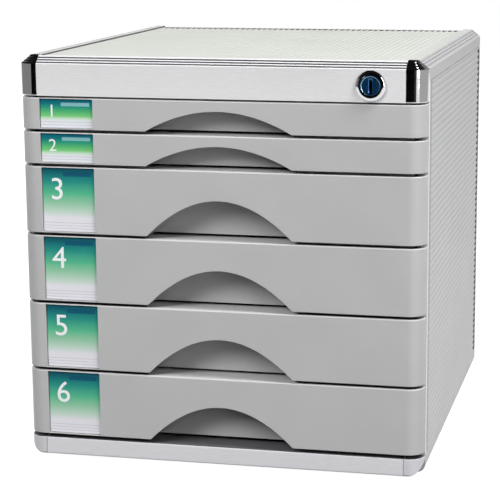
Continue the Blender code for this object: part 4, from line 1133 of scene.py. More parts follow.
@dataclass
class Rails:
    """The top rail with its grooved bevel, its chrome caps, the bottom rail and its end blocks."""

    section: CaseSection
    rail_soft: float = 0.00022  # radius of the top rail's edges
    lip_end: float = 0.0124  # how far behind the front face the bottom rail's lip ends
    foot_edge: float = 0.0016  # radius of the bottom rail's lower front edge
    ledge_edge: float = 0.0009  # radius of its upper front edge
    cap_groove: float = 0.35  # how deep the caps' grooves are, as a share of the rail's
    cap_width: float = 0.0145  # width of a cap
    cap_edge: float = 0.0006  # bevel at its foot
    cap_soft: float = 0.0003  # radius of its other edges
    block_edge: float = 0.0014  # radius of the end blocks' lower front edge
    block_flat: float = 0.0015  # how far an end block goes in past its round lower corner
    corner_flat: float = 0.0006  # the least part of the front corner that is left at its foot
    arc_steps: int = 18  # segments on the round corners in plan

    def rail(self, node: str, corners: list[Pair], radii: float | Array, steps: int, finish: Finish) -> Object:
        """Carry a rail's section along its solid's length.

        Args:
            node: the solid's name.
            corners: the section's corners, as (y, z).
            radii: their radii.
            steps: segments on each of them.
            finish: the rail's finish.

        Returns:
            The rail.
        """
        low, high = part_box(node)
        surface = Surface(f"{node}_shell")
        surface.extrude(fillet(corners, radii, steps), Axis.X, low.x, high.x)
        return surface.finish(finish.made)

    def top_rail(self) -> None:
        """Build the top rail, bored for the lock, with painted shade in its grooves."""
        s = self.section
        low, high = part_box("front_top_rail")
        face_top = high.z - s.bevel_height
        foot, head = (low.y, face_top), (low.y + s.bevel_width, high.z)
        corners = [
            (low.y, low.z),
            foot,
            *s.bevel(foot, head),
            head,
            (head[0], high.z - s.lip_face),
            (high.y, high.z - s.lip_face),
            (high.y, high.z - s.lip_back),
            (head[0], high.z - s.lip_back),
            (low.y + s.wall, face_top),
            (low.y + s.wall, low.z),
        ]
        rail = self.rail("front_top_rail", corners, self.rail_soft, 3, Finish.RAIL)
        housing_low, housing_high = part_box("lock_housing")
        centre = (housing_low + housing_high) / 2
        hole = Surface("lock_hole")
        bore = circle(LockLooks.barrel_radius + s.gap, 72, (centre.x, centre.z))
        hole.extrude(bore, Axis.Y, low.y - s.wall, low.y + 2 * s.wall, 0.0003)
        carve(rail, hole.finish(Finish.RAIL.made))
        # Painted shade: the rail's groove walls get the dark groove finish.
        s.darken(rail, 1, low.y, 1, high.z, Finish.GROOVE_SHADE.made)
        settle(rail, "case", "rail", "front_top_rail")

    def bottom_rail(self) -> None:
        """Build the bottom rail: face, deep ledge with its top painted dark as shade, and a lip over the bottom
        panel.
        """
        s = self.section
        low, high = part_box("front_bottom_rail")
        foot_end, lip_end, inner = low.y + s.bevel_width, low.y + self.lip_end, low.y + s.wall
        corners = [
            (low.y, low.z),
            (low.y, high.z),
            (high.y, high.z),
            (high.y, high.z - s.wall),
            (inner, high.z - s.wall),
            (inner, low.z + s.lip_back),
            (lip_end, low.z + s.lip_back),
            (lip_end, low.z + s.lip_face),
            (foot_end, low.z + s.lip_face),
            (foot_end, low.z),
        ]
        radii = np.array([self.foot_edge, self.ledge_edge] + [s.soft] * (len(corners) - 2))
        rail = self.rail("front_bottom_rail", corners, radii, 5, Finish.FOOT_RAIL)
        # Painted shade: the ledge's top, under the lowest drawer, gets the dark ledge finish.
        darken_level(rail, high.z)
        settle(rail, "case", "rail", "front_bottom_rail")

    def cap(self, node: str, side: int) -> None:
        """Build a chrome cap: levels of its round plan up the face, the grooved bevel and the top.

        Args:
            node: the solid's name.
            side: 1 for the right one and -1 for the left one.
        """
        s = self.section
        low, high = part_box(node)
        outer = max(abs(low.x), abs(high.x))
        foot, head = (0.0, high.z - s.bevel_height), (s.bevel_width, high.z)
        start = [(self.cap_edge, low.z), (0.0, low.z + self.cap_edge)]
        profile = fillet([*start, foot, *s.bevel(foot, head, self.cap_groove), head], self.cap_soft, 3, closed=False)
        rings = []
        for inset, height in profile:
            corner = arc((outer - s.corner, low.y + s.corner), s.corner - inset, -QUARTER, 0.0, self.arc_steps)
            plan = corner_plan(outer - self.cap_width, corner, high.y)
            rings.append(Axis.Z.place(plan * (side, 1.0), height))
        surface = Surface(f"{node}_shell")
        surface.tube(rings)
        settle(surface.finish(Finish.CHROME.made), "case", "chrome", node)

    def end_block(self, node: str, side: int) -> None:
        """Build a bottom end block: at each level its rounded plan is cut off where the round lower edge is.

        Args:
            node: the solid's name.
            side: 1 for the right one and -1 for the left one.
        """
        s = self.section
        low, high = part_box(node)
        outer = max(abs(low.x), abs(high.x))
        centre = (outer - s.corner, low.y + s.corner)
        rings = []
        for step in np.linspace(QUARTER, 0.0, self.arc_steps + 1):
            edge = max(outer - s.foot_round * (1 - math.cos(step)), centre[0] + self.corner_flat)
            rise = s.foot_round * (1 - math.sin(step))
            front = low.y + self.block_edge * max(0.0, 1 - rise / self.block_edge) ** 2
            last = -math.acos(min(1.0, (edge - centre[0]) / s.corner))
            corner = arc(centre, s.corner, -QUARTER, last, self.arc_steps)
            corner[:, 1] = np.maximum(corner[:, 1], front)
            plan = corner_plan(outer - s.foot_round - self.block_flat, corner, high.y) * (side, 1.0)
            rings.append(Axis.Z.place(plan, low.z + rise))
        for inset, drop in ((0.0, s.soft), (0.3 * s.soft, 0.3 * s.soft), (s.soft, 0.0)):
            rings.append(Axis.Z.place(plan - outward(plan) * inset, high.z - drop))
        surface = Surface(f"{node}_shell")
        surface.tube(rings)
        block = surface.finish(Finish.BLOCK.made)
        # Painted shade: the block's top, under the lowest drawer, gets the dark ledge finish.
        darken_level(block, high.z)
        settle(block, "case", "end_block", node)

    def build(self) -> None:
        """Build both rails with their end pieces."""
        self.top_rail()
        self.bottom_rail()
        for hand, side in HANDS:
            self.cap(f"top_{hand}_cap", side)
            self.end_block(f"bottom_{hand}_end_block", side)


# The drawers


@dataclass
class DrawerLooks:
    """One drawer: front with its finger pull, tray, printed card, number and window."""

    number: int  # the drawer's number from the top
    deep: bool  # whether it is one of the deep drawers
    corner: float = 0.0120  # radius of the front corners in plan
    wing_depth: float = 0.0124  # how far the wings reach back beside the case's posts
    box_inset: float = 0.0100  # how far the front's rear part is set in behind the wings
    arch_points: int = 57  # points along the arch
    side_points: int = 6  # points along the face on each side of it
    rear_share: float = 0.3  # share of the edges' radii that the rear part gets
    top_round: float = 0.0009  # radius of the top edge
    bottom_round: float = 0.0003  # radius of the bottom edge and the arch
    foot_lift: float = 0.0003  # how far the bottom edge stays above its solid's
    top_drop: float = 0.0004  # how far the top stays below its solid's
    lip: float = 0.0022  # thickness of the edge in front of the channels in the top face
    channel: float = 0.0014  # depth of those channels
    pull_half: float = 0.0540  # half the arch's width
    thin_depth: float = 0.0150  # depth of the hollow under a thin drawer's arch
    deep_depth: float = 0.0192  # depth of the hollow under a deep drawer's arch
    pull_power: float = 0.72  # the p of its section, 1 for an ellipse and less for a squarer one
    thin_rise: float = 0.0156  # height of a thin drawer's arch
    deep_rise: float = 0.0277  # height of a deep drawer's arch
    fine_edge: float = 0.0001  # radius of the smallest edges
    recess_corner: float = 0.0006  # radius of the recess's corners
    card_corner: float = 0.0005  # radius of the card's and the window's corners
    window_edge: float = 0.0002  # radius of the window's edges
    thin_numeral: float = 0.42  # height of the number, as a share of a thin drawer's card
    deep_numeral: float = 0.34  # the same on a deep drawer's card
    numeral_size: float = 0.7  # height of a digit, as a share of the font's size
    numeral_aside: float = 0.14  # how far from the card's left edge it starts, as a share of its width
    numeral_drop: float = 1.45  # how far its foot is below the card's top, in heights of the number
    numeral_ink: float = 0.00004  # half the thickness of the print
    numeral_lift: float = 0.00005  # how far it stands before the card
    tray_half: float = 0.1350  # half the tray's width
    tray_wall: float = 0.0016  # wall of the tray
    tray_floor: float = 0.0018  # floor of the tray
    tray_cove: float = 0.0030  # reach of the coves at the foot of the tray's side walls
    tray_round: float = 0.0010  # radius of the tray's lower edge and of its other coves
    tray_corners: Pair = (0.0012, 0.005)  # radii of its front and of its rear corners in plan
    nub: float = 0.004  # size of the nubs, and how far they stay from the tray's rear and rim
    hook_aside: float = 0.100  # how far the hooks are from the drawer's middle
    hook_half: Pair = (0.006, 0.002)  # half their width and half their height
    hook_span: Pair = (-0.0021, 0.0012)  # how far the front reaches past the tray's foot and rim
    block_corner: float = 0.0004  # radius of the nubs' and hooks' corners
    block_edge: float = 0.0003  # radius of their edges
    gap: float = 0.0003  # gap between touching pieces

    @property
    def body(self) -> str:
        """The body that the whole drawer moves with."""
        return f"drawer_{self.number}"

    @property
    def pull_depth(self) -> float:
        """Depth of the hollow under the arch."""
        return self.deep_depth if self.deep else self.thin_depth

    @property
    def rise(self) -> float:
        """Height of the arch over the bottom edge."""
        return (self.deep_rise if self.deep else self.thin_rise) - self.foot_lift

    def box(self, part: str) -> tuple[Vector, Vector]:
        """The box of one of the drawer's solids."""
        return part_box(f"{self.body}_{part}")

    def arch(self, across: Array) -> Array:
        """Height of the arch's edge: the parabola rise * (1 - (x / w)^2) inside its half width w, and 0 outside."""
        share = np.clip(np.abs(across) / self.pull_half, 0.0, 1.0)
        return self.rise * (1 - share**2)

    def plan(self, low: Vector, high: Vector, steps: int = 14) -> tuple[Array, Array]:
        """The front's outline from above, anticlockwise, with its edges' radii.

        Args:
            low: lowest corner of the front's solid.
            high: highest corner of the front's solid.
            steps: segments on each round corner.

        Returns:
            The outline's points, and the share of the edge radius at each.
        """
        centre = (high.x - self.corner, low.y + self.corner)
        arch = self.pull_half * np.sin(np.linspace(-QUARTER, QUARTER, self.arch_points))
        beside = np.linspace(self.pull_half, centre[0], self.side_points + 1)[1:]
        across = np.concatenate([-beside[::-1], arch, beside])
        face = np.stack([across, np.full(len(across), low.y)], axis=1)
        corner = arc(centre, self.corner, -QUARTER, 0.0, steps)[1:]
        wing, rear = low.y + self.wing_depth, high.x - self.box_inset
        step = np.array([(high.x, wing), (rear, wing), (rear, high.y)])
        right = np.concatenate([corner, step])
        outline = np.concatenate([face, right, right[::-1] * (-1.0, 1.0)])
        shares = np.ones(len(outline))
        start = len(face) + len(corner)
        shares[start : start + 2 * len(step)] = self.rear_share
        return outline, shares

    def front(self) -> Object:
        """The drawer front with its channels and the recess for its card.

        The wall is the outline carried up, drawn in by r * (1 - sin t) at the bottom edge and by
        r * (1 - cos t) at the top one. Its foot follows the arch. The hollow is
        y = d * sin(t) ^ p, z = arch(x) * cos(t) ^ p for t from 0 to 90 degrees, a quarter of a
        superellipse at each x.

        Returns:
            The front.
        """
        low, high = self.box("front")
        low.z += self.foot_lift
        high.z -= self.top_drop
        outline, shares = self.plan(low, high)
        direction = outward(outline)
        on_face = np.isclose(outline[:, 1], low.y)
        foot = low.z + np.where(on_face, self.arch(outline[:, 0]), 0.0)
        bottom, top = shares * self.bottom_round, shares * self.top_round
        sine, lift = quarter(5)
        rings = []
        for inset, rise in zip(1 - sine, lift):
            rings.append(Axis.Z.place(outline - direction * (bottom * inset)[:, None], foot + bottom * rise))
        for inset, drop in zip(lift, 1 - sine):
            rings.append(Axis.Z.place(outline - direction * (top * inset)[:, None], high.z - top * drop))
        surface = Surface(f"{self.body}_front_shell")
        wall = surface.grid(np.stack(rings))
        surface.cap(wall[-1])
        self.close_foot(surface, wall[0], rings[0], on_face, low)
        front = carve(surface.finish(Finish.DRAWER.made), self.recess(), self.channels(low, high))
        # Painted shade: the channels' floors get the dark ledge finish, which darkens the gap over the front.
        darken_level(front, high.z - self.channel)
        return front

    def channels(self, low: Vector, high: Vector) -> Object:
        """The space of the two channels in the top face, which keep the gap over it dark beside the arch.

        Args:
            low: lowest corner of the front.
            high: highest corner of the front.

        Returns:
            One piece for both channels.
        """
        centre = (high.x - self.corner, low.y + self.corner)
        corner = arc(centre, self.corner - self.lip, -QUARTER, 0.0, 14)
        right = corner_plan(self.pull_half + self.lip, corner, low.y + self.wing_depth + self.lip)
        surface = Surface(f"{self.body}_channels")
        for outline in (right, right[::-1] * (-1.0, 1.0)):
            surface.extrude(outline, Axis.Z, high.z - self.channel, high.z + self.channel, self.fine_edge)
        return surface.finish(Finish.DRAWER.made)

    def close_foot(self, surface: Surface, foot: Array, ring: Array, on_face: Array, low: Vector) -> None:
        """Add the hollow under the arch and the flat underside round it.

        Args:
            surface: the front's mesh.
            foot: numbers of the points of the wall's lowest ring.
            ring: the points of that ring.
            on_face: which of them lie on the front face.
            low: lowest corner of the front's solid.
        """
        inside = np.flatnonzero(on_face & (np.abs(ring[:, 0]) < self.pull_half + MERGE_DISTANCE))
        edge = ring[inside]
        first = math.asin((self.bottom_round / self.pull_depth) ** (1 / self.pull_power))
        angle = np.linspace(first, QUARTER, 21)[1:, None]
        rows = np.tile(edge, (len(angle) + 1, 1, 1))
        rows[1:, :, 1] = low.y + self.pull_depth * np.sin(angle) ** self.pull_power
        rows[1:, :, 2] = low.z + self.arch(edge[:, 0]) * np.abs(np.cos(angle)) ** self.pull_power
        hollow = surface.grid(rows, closed=False)
        outside = np.roll(foot, -inside[-1] - 1)[: len(foot) - len(inside)]
        surface.cap(np.concatenate([outside, hollow[:, 0], hollow[-1, 1:], hollow[::-1, -1][1:]]))

    def recess(self) -> Object:
        """The space that the card and its window fill.

        Returns:
            One piece for both.
        """
        low, high = self.box("card")
        window_low, _ = self.box("window")
        corners = ((low.x - self.gap, low.z - self.gap), (high.x + self.gap, high.z + self.gap))
        surface = Surface(f"{self.body}_recess")
        outline = rounded_box(*corners, self.recess_corner)
        surface.extrude(outline, Axis.Y, window_low.y - self.corner, high.y + self.gap, self.fine_edge)
        return surface.finish(Finish.DRAWER.made)

    def plate(self, part: str, finish: Finish, edge: float) -> None:
        """Build a thin plate in the box of its solid, its UV map spread over its face.

        Args:
            part: the solid's name after the body's.
            finish: the plate's finish.
            edge: radius of its edges.
        """
        low, high = self.box(part)
        node = f"{self.body}_{part}"
        surface = Surface(f"{node}_plate")
        surface.extrude(
            rounded_box((low.x, low.z), (high.x, high.z), self.card_corner), Axis.Y, low.y, high.y, edge
        )
        plate = surface.finish(finish.made)
        mesh = plate.data
        corners = np.empty(len(mesh.loops), np.int64)
        mesh.loops.foreach_get("vertex_index", corners)
        places = np.empty(len(mesh.vertices) * 3)
        mesh.vertices.foreach_get("co", places)
        shares = (places.reshape(-1, 3)[corners] - np.array(low))[:, ::2] / np.array(high - low)[::2]
        mesh.uv_layers.new(name="face").data.foreach_set("uv", shares.reshape(-1))
        settle(plate, self.body, part, node)

    def numeral(self) -> Object:
        """The drawer's plain number, printed on the card.

        Returns:
            The number.
        """
        low, high = self.box("card")
        height = (high.z - low.z) * (self.deep_numeral if self.deep else self.thin_numeral)
        curve = bpy.data.curves.new(f"{self.body}_numeral", "FONT")
        curve.body = str(self.number)
        curve.size = height / self.numeral_size
        curve.extrude = self.numeral_ink
        letter = add_object("letter", curve)
        mesh = bpy.data.meshes.new_from_object(letter.evaluated_get(bpy.context.evaluated_depsgraph_get()))
        bpy.data.objects.remove(letter, do_unlink=True)
        aside = low.x + self.numeral_aside * (high.x - low.x)
        place = Vector((aside, low.y - self.numeral_lift, high.z - self.numeral_drop * height))
        mesh.transform(Matrix.Translation(place) @ Matrix.Rotation(QUARTER, 4, "X"))
        mesh.materials.clear()
        mesh.materials.append(Finish.PRINT.made)
        return add_object(f"{self.body}_numeral", mesh)

    def tray(self) -> Object:
        """The tray with its nubs and hooks: an open box whose outer and inner walls are one run of rings.

        Returns:
            The tray.
        """
        low, high = self.box("tray")
        start = self.box("front")[1].y + self.gap
        outline = fillet(
            [(-self.tray_half, start), (self.tray_half, start), (self.tray_half, high.y), (-self.tray_half, high.y)],
            np.repeat(self.tray_corners, 2),
            8,
        )
        direction = outward(outline)
        sine, lift = quarter(4)
        foot, rim = self.tray_round, self.tray_wall / 2
        profile = np.concatenate(
            [
                np.stack([foot * (1 - sine), low.z + foot * lift], axis=1),
                np.stack([rim * lift, high.z - rim * (1 - sine)], axis=1),
                np.stack([self.tray_wall - rim * lift[::-1], high.z - rim * (1 - sine[::-1])], axis=1)[1:],
            ]
        )
        rings = [Axis.Z.place(outline - direction * inset, height) for inset, height in profile]
        coves = np.array([self.tray_cove, self.tray_round])
        cove_side = np.abs(direction) * coves + (1 - np.abs(direction)) * self.tray_round
        for inner, rise in zip(lift, sine):
            plan = outline - direction * (self.tray_wall + cove_side * inner)
            rings.append(Axis.Z.place(plan, low.z + self.tray_floor + cove_side[:, 0] * (1 - rise)))
        surface = Surface(f"{self.body}_tray_shell")
        surface.tube(rings)
        for block_low, block_high in self.tray_blocks(low, high, start):
            outline = rounded_box(block_low[:2], block_high[:2], self.block_corner, 3)
            surface.extrude(outline, Axis.Z, block_low[2], block_high[2], self.block_edge)
        return surface.finish(Finish.TRAY.made)

    def tray_blocks(self, low: Vector, high: Vector, start: float) -> list[tuple[Place, Place]]:
        """Corners of the small blocks on the tray: two nubs and two hooks.

        Args:
            low: lowest corner of the tray's solid.
            high: highest corner of the tray's solid.
            start: where the tray's front wall starts.

        Returns:
            A lowest and a highest corner for each block.
        """
        nub, (width, height) = self.nub, self.hook_half
        middle = (low.z + high.z + sum(self.hook_span)) / 2
        blocks = []
        for side in (-1, 1):
            left, right = sorted((side * (self.tray_half - self.tray_wall / 2), side * abs(low.x)))
            blocks.append(((left, high.y - 2 * nub, high.z - 2 * nub), (right, high.y - nub, high.z - nub)))
            hook = side * self.hook_aside
            rear = start + self.tray_wall / 2
            blocks.append(((hook - width, low.y, middle - height), (hook + width, rear, middle + height)))
        return blocks

    def build(self) -> None:
        """Build the whole drawer."""
        body = self.body
        settle(self.front(), body, "drawer_grey", f"{body}_front")
        settle(self.tray(), body, "tray_grey", f"{body}_tray")
        self.plate("card", Finish.CARD_DEEP if self.deep else Finish.CARD_THIN, self.fine_edge)
        self.plate("window", Finish.WINDOW, self.window_edge)
        settle(self.numeral(), body, "card")
        soften(f"{body}_catch", body, "steel", Finish.STEEL.made)


# The lock


@dataclass
class LockLooks:
    """The key lock: chrome housing, blue plug with its key slot, and the works behind."""

    bezel_lip: float = 0.0006  # depth of the bezel's inner edge
    mouth_radius: float = 0.0084  # radius of the bezel's inner edge, where its dome is highest
    barrel_radius: float = 0.0090  # radius of the barrel behind the rail
    plug_radius: float = 0.0077  # radius of the plug's head
    plug_body: float = 0.0060  # radius of the plug behind its head
    plug_head: float = 0.0045  # depth of the plug's head
    slot_half_width: float = 0.00095  # half the width of the key slot
    slot_half_height: float = 0.0044  # half its height
    slot_depth: float = 0.0120  # its depth
    slot_mouth: float = 0.0007  # depth of the chamfer round it
    slot_crowding: float = 0.32  # how far the plug's points are drawn towards the slot's corners, in radians
    edge: float = 0.0003  # radius of the housing's and the plug's rear edges
    works_edge: float = 0.0002  # radius of the edges of the works behind
    ring: Pair = (0.0013, 0.0008)  # where the bright ring on the face starts and ends, from the plug's edge
    shaded_edge: float = 0.0006  # width of the plug's edge, painted dark as the shade of the gap round it
    gap: float = 0.0003  # gap between the plug and its housing

    def housing(self) -> Object:
        """The chrome bezel and barrel, turned about the lock's axis.

        Returns:
            The housing.
        """
        low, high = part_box("lock_housing")
        rail_low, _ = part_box("front_top_rail")
        radius, seat = (high.x - low.x) / 2, rail_low.y - self.gap
        bore, head_bore = self.plug_body + self.gap, self.plug_radius + self.gap
        head_seat = low.y + self.bezel_lip + self.plug_head + self.gap
        sine, lift = quarter(10)
        dome = np.stack([radius - (radius - self.mouth_radius) * lift, seat - (seat - low.y) * sine], axis=1)
        corners = [
            (self.barrel_radius, high.y),
            (self.barrel_radius, seat),
            *dome,
            (head_bore, low.y + self.bezel_lip),
            (head_bore, head_seat),
            (bore, head_seat),
            (bore, high.y),
        ]
        radii = np.zeros(len(corners))
        radii[[0, -4, -1]] = self.edge
        profile = fillet(corners, radii, 6)
        centre = ((low.x + high.x) / 2, (low.z + high.z) / 2)
        surface = Surface("lock_housing_shell")
        surface.grid(turned(np.concatenate([profile, profile[:1]]), Axis.Y, centre, 96))
        return surface.finish(Finish.CHROME.made)

    def slot_outline(self, angle: Array, grow: float = 0.0) -> Array:
        """The key slot's outline, read at the angles of a circle.

        It is the superellipse |x / a| ^ 6 + |z / b| ^ 6 = 1, whose radius at an angle t is
        (|cos t / a| ^ 6 + |sin t / b| ^ 6) ^ (-1 / 6).

        Args:
            angle: the angles.
            grow: how much wider and taller than the slot the outline is, on each side.

        Returns:
            The outline's points.
        """
        a, b = self.slot_half_width + grow, self.slot_half_height + grow
        radius = (np.abs(np.cos(angle) / a) ** 6 + np.abs(np.sin(angle) / b) ** 6) ** (-1 / 6)
        return np.stack([radius * np.cos(angle), radius * np.sin(angle)], axis=1)

    def plug(self) -> Object:
        """The plug: slot floor, slot wall, chamfer, face, rim and body as one run of rings.

        Returns:
            The plug.
        """
        low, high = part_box("lock_plug")
        centre = (low + high) / 2
        upright = np.linspace(0.0, 2 * math.pi, 128, endpoint=False)
        angle = upright + self.slot_crowding * np.sin(2 * upright)
        ring = np.stack([np.cos(angle), np.sin(angle)], axis=1)
        # Pairs of a ring's distance and its depth. The distance is counted outwards from the slot, and
        # inwards from the radius of the head and from that of the body.
        slot_levels = (
            (-0.0002, self.slot_depth),
            (0.0, self.slot_depth - self.edge),
            (0.0, self.slot_mouth),
            (0.0005, 0.0002),
            (0.0008, 0.0001),
        )
        head_levels = (
            (0.0019, 0.0001),
            (0.0016, 0.0004),
            (0.0013, 0.0004),
            (0.0010, 0.0001),
            (0.0005, 0.0),
            (0.0001, 0.0003),
            (0.0, 0.0007),
            (0.0, self.plug_head - 0.0002),
            (0.0002, self.plug_head),
        )
        length = high.y - low.y
        body_levels = ((0.0, self.plug_head), (0.0, length - self.edge), (self.edge, length))
        levels = [(self.slot_outline(angle, grow), depth) for grow, depth in slot_levels]
        levels += [(ring * (self.plug_radius - inset), depth) for inset, depth in head_levels]
        levels += [(ring * (self.plug_body - inset), depth) for inset, depth in body_levels]
        surface = Surface("lock_plug_shell")
        surface.tube([Axis.Y.place(outline + (centre.x, centre.z), low.y + depth) for outline, depth in levels])
        plug = surface.finish(Finish.LOCK_BLUE.made)
        offset = face_values(plug, "center") - np.array((centre.x, low.y, centre.z))
        depth, spread = offset[:, 1], np.hypot(offset[:, 0], offset[:, 2])
        start, end = (self.plug_radius - inset for inset in self.ring)
        recolour(plug, (spread > start) & (spread < end), Finish.LOCK_RING.made)
        # Painted shade: the slot's walls and the plug's outer edge get the near-black finish.
        slot = (depth > self.slot_mouth) & (depth < self.slot_depth + self.edge)
        slot &= spread < self.slot_half_height + self.edge
        recolour(plug, slot | (spread > self.plug_radius - self.shaded_edge), Finish.LOCK_SHADE.made)
        return plug

    def build(self) -> None:
        """Build the lock and soften its works."""
        settle(self.housing(), "case", "chrome", "lock_housing")
        settle(self.plug(), "lock", "lock_blue", "lock_plug")
        for node, body in (
            ("lock_nut", "case"),
            ("lock_cam", "lock"),
            ("cam_screw", "lock"),
            ("lock_bar_upper", "lock_bar"),
            ("lock_bar_lower", "lock_bar"),
        ):
            soften(node, body, "steel", Finish.STEEL.made, self.works_edge)


# Hidden and plain pieces of the case


@dataclass
class CaseInside:
    """The back, the bottom, the runner frames, the screws and the feet."""

    foot_round: float = 0.0006  # radius of the feet's lower edges
    fine_edge: float = 0.0002  # radius of the other edges
    screw_radius: float = 0.0032  # radius of the screws' heads
    screw_head: float = 0.0017  # height of the heads
    screw_dome: float = 0.0011  # radius of the heads' upper edges
    screw_shank: float = 0.0015  # radius of the shanks
    screw_length: float = 0.0120  # length of the shanks
    screw_aside: float = 0.1393  # how far the screws stand from the cabinet's middle
    screw_rise: float = 0.0009  # how far above a drawer front's lower edge they are
    screw_slot: float = 0.0019  # half the length of the screws' cross slots
    screw_slot_width: float = 0.0004  # half the width of the slots
    screw_slot_depth: float = 0.0009  # depth of the slots
    slot_edge: float = 0.0001  # radius of their edges
    gap: float = 0.0003  # gap between touching pieces

    def foot(self, node: str) -> None:
        """Build a round rubber pad.

        Args:
            node: the solid's name.
        """
        low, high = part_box(node)
        radius, edge = (high.x - low.x) / 2, self.fine_edge
        sine, lift = quarter(4)
        profile = np.stack([radius - self.foot_round * (1 - sine), low.z + self.foot_round * lift], axis=1)
        profile = np.concatenate([profile, [(radius, high.z - edge), (radius - edge, high.z)]])
        surface = Surface(f"{node}_pad")
        surface.tube(turned(profile, Axis.Z, ((low.x + high.x) / 2, (low.y + high.y) / 2), 64))
        settle(surface.finish(Finish.RUBBER.made), "case", "rubber", node)

    def screw(self, name: str, centre: Vector) -> None:
        """Build a pan-head screw with a cross slot, whose head sits on the back panel.

        Args:
            name: the screw's name.
            centre: the middle of its hole, on the back panel's outer face.
        """
        shank, radius, x, z = self.screw_shank, self.screw_radius, centre.x, centre.z
        seat, tip = centre.y + self.gap, centre.y - self.screw_length
        top = seat + self.screw_head
        corners = [
            (shank / 2, tip),
            (shank, shank + tip),
            (shank, seat),
            (radius, seat),
            (radius, top),
            (radius / 4, top),
        ]
        radii = np.array([0.0, self.fine_edge, 0.0, self.fine_edge, self.screw_dome, 0.0])
        surface = Surface(name)
        surface.tube(turned(fillet(corners, radii, 6, closed=False), Axis.Y, (x, z), 48))
        slots = []
        for reach, width in ((self.screw_slot, self.screw_slot_width), (self.screw_slot_width, self.screw_slot)):
            outline = rounded_box((x - reach, z - width), (x + reach, z + width), self.fine_edge)
            slot = Surface("slot")
            slot.extrude(outline, Axis.Y, top - self.screw_slot_depth, top + self.screw_slot_depth, self.slot_edge)
            slots.append(slot.finish(Finish.STEEL.made))
        settle(carve(surface.finish(Finish.STEEL.made), *slots), "case", "steel")

    def build(self) -> None:
        """Build or soften each piece."""
        for node in ("back_panel", "bottom_panel", "left_runner_frame", "right_runner_frame"):
            soften(node, "case", "inner_plastic", Finish.INNER.made, self.fine_edge)
        _, back_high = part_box("back_panel")
        for level, number in (("upper", 2), ("lower", 6)):
            front_low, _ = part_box(f"drawer_{number}_front")
            for hand, side in HANDS[::-1]:
                centre = Vector((side * self.screw_aside, back_high.y, front_low.z + self.screw_rise))
                self.screw(f"back_screw_{level}_{hand}", centre)
        for end in ("front", "rear"):
            for hand, _ in HANDS[::-1]:
                self.foot(f"{end}_{hand}_foot")


# Stage, light and camera


@dataclass(frozen=True)
class SoftBox:
    """A rectangular studio light aimed at the cabinet."""

    name: str
    place: Place  # where it hangs
    size: Pair  # its width and height
    power: float  # in watts
    mirrored: bool = False  # whether reflections see it
    aim: Place = (0.0, 0.0, 0.15)  # the point that it faces

    def hang(self) -> None:
        """Put the light into the scene."""
        lamp = bpy.data.lights.new(self.name, "AREA")
        lamp.shape = "RECTANGLE"
        lamp.size, lamp.size_y = self.size
        lamp.energy = self.power
        light = add_object(self.name, lamp)
        light.location = self.place
        direction = Vector(self.aim) - Vector(self.place)
        light.rotation_euler = direction.to_track_quat("-Z", "Y").to_euler()
        light.visible_camera = False
        light.visible_glossy = self.mirrored


@dataclass(frozen=True)
class StudioCard:
    """An upright card that only reflections see."""

    name: str
    low: Place  # one corner
    high: Place  # the corner across from it
    glow: float = 0.0  # light that it gives off itself, 0 for a black one

    def stand(self) -> None:
        """Put the card into the scene."""
        low, high = self.low, self.high
        surface = Surface(self.name)
        rows = np.array([[low, (high[0], high[1], low[2])], [(low[0], low[1], high[2]), high]], float)
        surface.grid(rows, closed=False)
        card = surface.finish(StudioSurface(f"{self.name}_cloth", self.glow).material())
        card.visible_camera = False
        card.visible_diffuse = False
        card.visible_shadow = False


LIGHTS = (
    SoftBox("top_box", (-0.5, 1.5, 1.7), (2.0, 1.5), 8.0),
    SoftBox("back_box", (-1.9, 1.9, 0.9), (1.2, 1.2), 75.0),
    SoftBox("left_box", (-1.3, -2.0, 1.9), (1.2, 1.2), 98.0),
    SoftBox("right_box", (1.3, -0.5, 2.3), (0.8, 0.8), 118.0),
    SoftBox("edge_box", (1.69, -1.43, 0.80), (0.42, 1.5), 23.0, mirrored=True),
)
CARDS = (
    StudioCard("front_card", (-1.25, -2.1, 0.0), (0.95, -2.1, 1.8)),
    StudioCard("right_front_card", (0.95, -2.1, 0.0), (1.25, -1.75, 1.6), 0.05),
    StudioCard("right_card", (1.85, -1.25, 0.0), (2.0, 2.4, 0.7), 0.55),
    StudioCard("right_back_card", (2.0, 2.4, 0.0), (0.2, 3.4, 0.4), 0.55),
    StudioCard("left_card", (-1.25, -2.1, 0.0), (-2.0, 1.6, 0.8), 0.30),
    StudioCard("back_card", (-0.1, 2.6, 0.5), (2.4, 1.8, 2.6), 0.30),
)
ROOM_GREYS = ((0.0, 0.02), (0.46, 0.02), (0.52, 0.04), (0.62, 0.05), (0.75, 0.04), (0.90, 0.01), (1.0, 0.01))


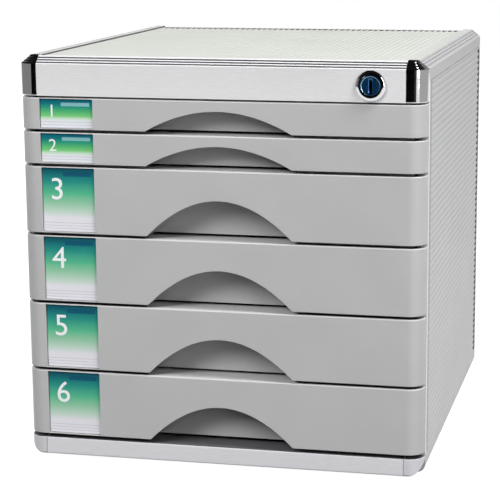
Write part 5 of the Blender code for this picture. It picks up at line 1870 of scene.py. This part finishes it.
@dataclass
class Stage:
    """The pale floor, the lights, the cards that reflections see, and the camera."""

    focal_length: float = 123.75  # in millimetres, on a 36 mm sensor
    camera_right: float = 0.31413  # how far the camera stands to the right of the cabinet's middle
    camera_front: float = 1.17648  # how far it stands before the cabinet's front face
    camera_height: float = 0.40277  # its height above the case's underside
    yaw: float = 12.172  # its turn to the left, in degrees
    pitch: float = -11.225  # its tilt, in degrees, negative when it looks down
    roll: float = 0.165  # its roll, in degrees
    shift_x: float = -0.1011  # sideways shift of the picture, as a share of its width
    shift_y: float = 0.0012  # upward shift of the picture, as a share of its width
    floor_half: float = 15.0  # half the floor's width

    def camera(self) -> None:
        """Set the camera at the photograph's viewing angle."""
        lens = bpy.data.cameras.new("camera")
        lens.lens = self.focal_length
        lens.sensor_width = 36.0
        lens.shift_x = self.shift_x
        lens.shift_y = self.shift_y
        lens.clip_end = 50.0
        camera = add_object("camera", lens)
        rail_low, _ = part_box("front_top_rail")
        bottom_low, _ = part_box("bottom_panel")
        place = Vector((self.camera_right, rail_low.y - self.camera_front, bottom_low.z + self.camera_height))
        matrix = Matrix.Translation(place)
        for degrees, axis in ((self.yaw, "Z"), (self.pitch, "X"), (self.roll, "Y"), (90.0, "X")):
            matrix = matrix @ Matrix.Rotation(math.radians(degrees), 4, axis)
        camera.matrix_world = matrix
        bpy.context.scene.camera = camera

    def floor(self) -> None:
        """Lay the plain pale floor."""
        half = self.floor_half
        surface = Surface("floor")
        rows = np.array([[(-half, -half, 0.0), (half, -half, 0.0)], [(-half, half, 0.0), (half, half, 0.0)]])
        surface.grid(rows, closed=False)
        floor = surface.finish(Finish.FLOOR.made)
        floor.visible_diffuse = False

    def surroundings(self) -> None:
        """Set the room round the stage: dim below, pale at eye level and dark straight above."""
        world = bpy.data.worlds.new("surroundings")
        world.use_nodes = True
        shader = Shader(world)
        height = shader.add("MapRange")
        height.inputs["From Min"].default_value = -1.0
        shader.join(shader.split("Generated")["Z"], height.inputs["Value"])
        colour = shader.ramp(height.outputs["Result"], [(level, (grey, grey, grey)) for level, grey in ROOM_GREYS])
        shader.join(colour, shader.socket("Color", "Background"))
        bpy.context.scene.world = world

    def build(self) -> None:
        """Set up everything around the cabinet."""
        self.floor()
        self.surroundings()
        for light in LIGHTS:
            light.hang()
        for card in CARDS:
            card.stand()
        self.camera()
        bpy.context.scene.view_settings.view_transform = "Standard"


def main() -> None:
    """Build every sub-assembly in order."""
    logging.basicConfig(level=logging.INFO, format="%(name)s: %(message)s")
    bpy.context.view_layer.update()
    section = CaseSection()
    Stage().build()
    RibbedPanel(
        "top_panel", 0, 1, rim=0.006, seal=0.010, finish=Finish.PANEL, seam=0.0004, sink=0.0011, depth=0.00030
    ).build()
    RibbedPanel("right_side_panel", 2, 1, rim=0.004, seal=0.009).build()
    RibbedPanel("left_side_panel", 2, -1, rim=0.004, seal=0.009).build()
    CornerStrips(section).build()
    Rails(section).build()
    for number in range(1, 7):
        DrawerLooks(number, deep=number > 2).build()
    LockLooks().build()
    CaseInside().build()


if __name__ == "__main__":
    main()
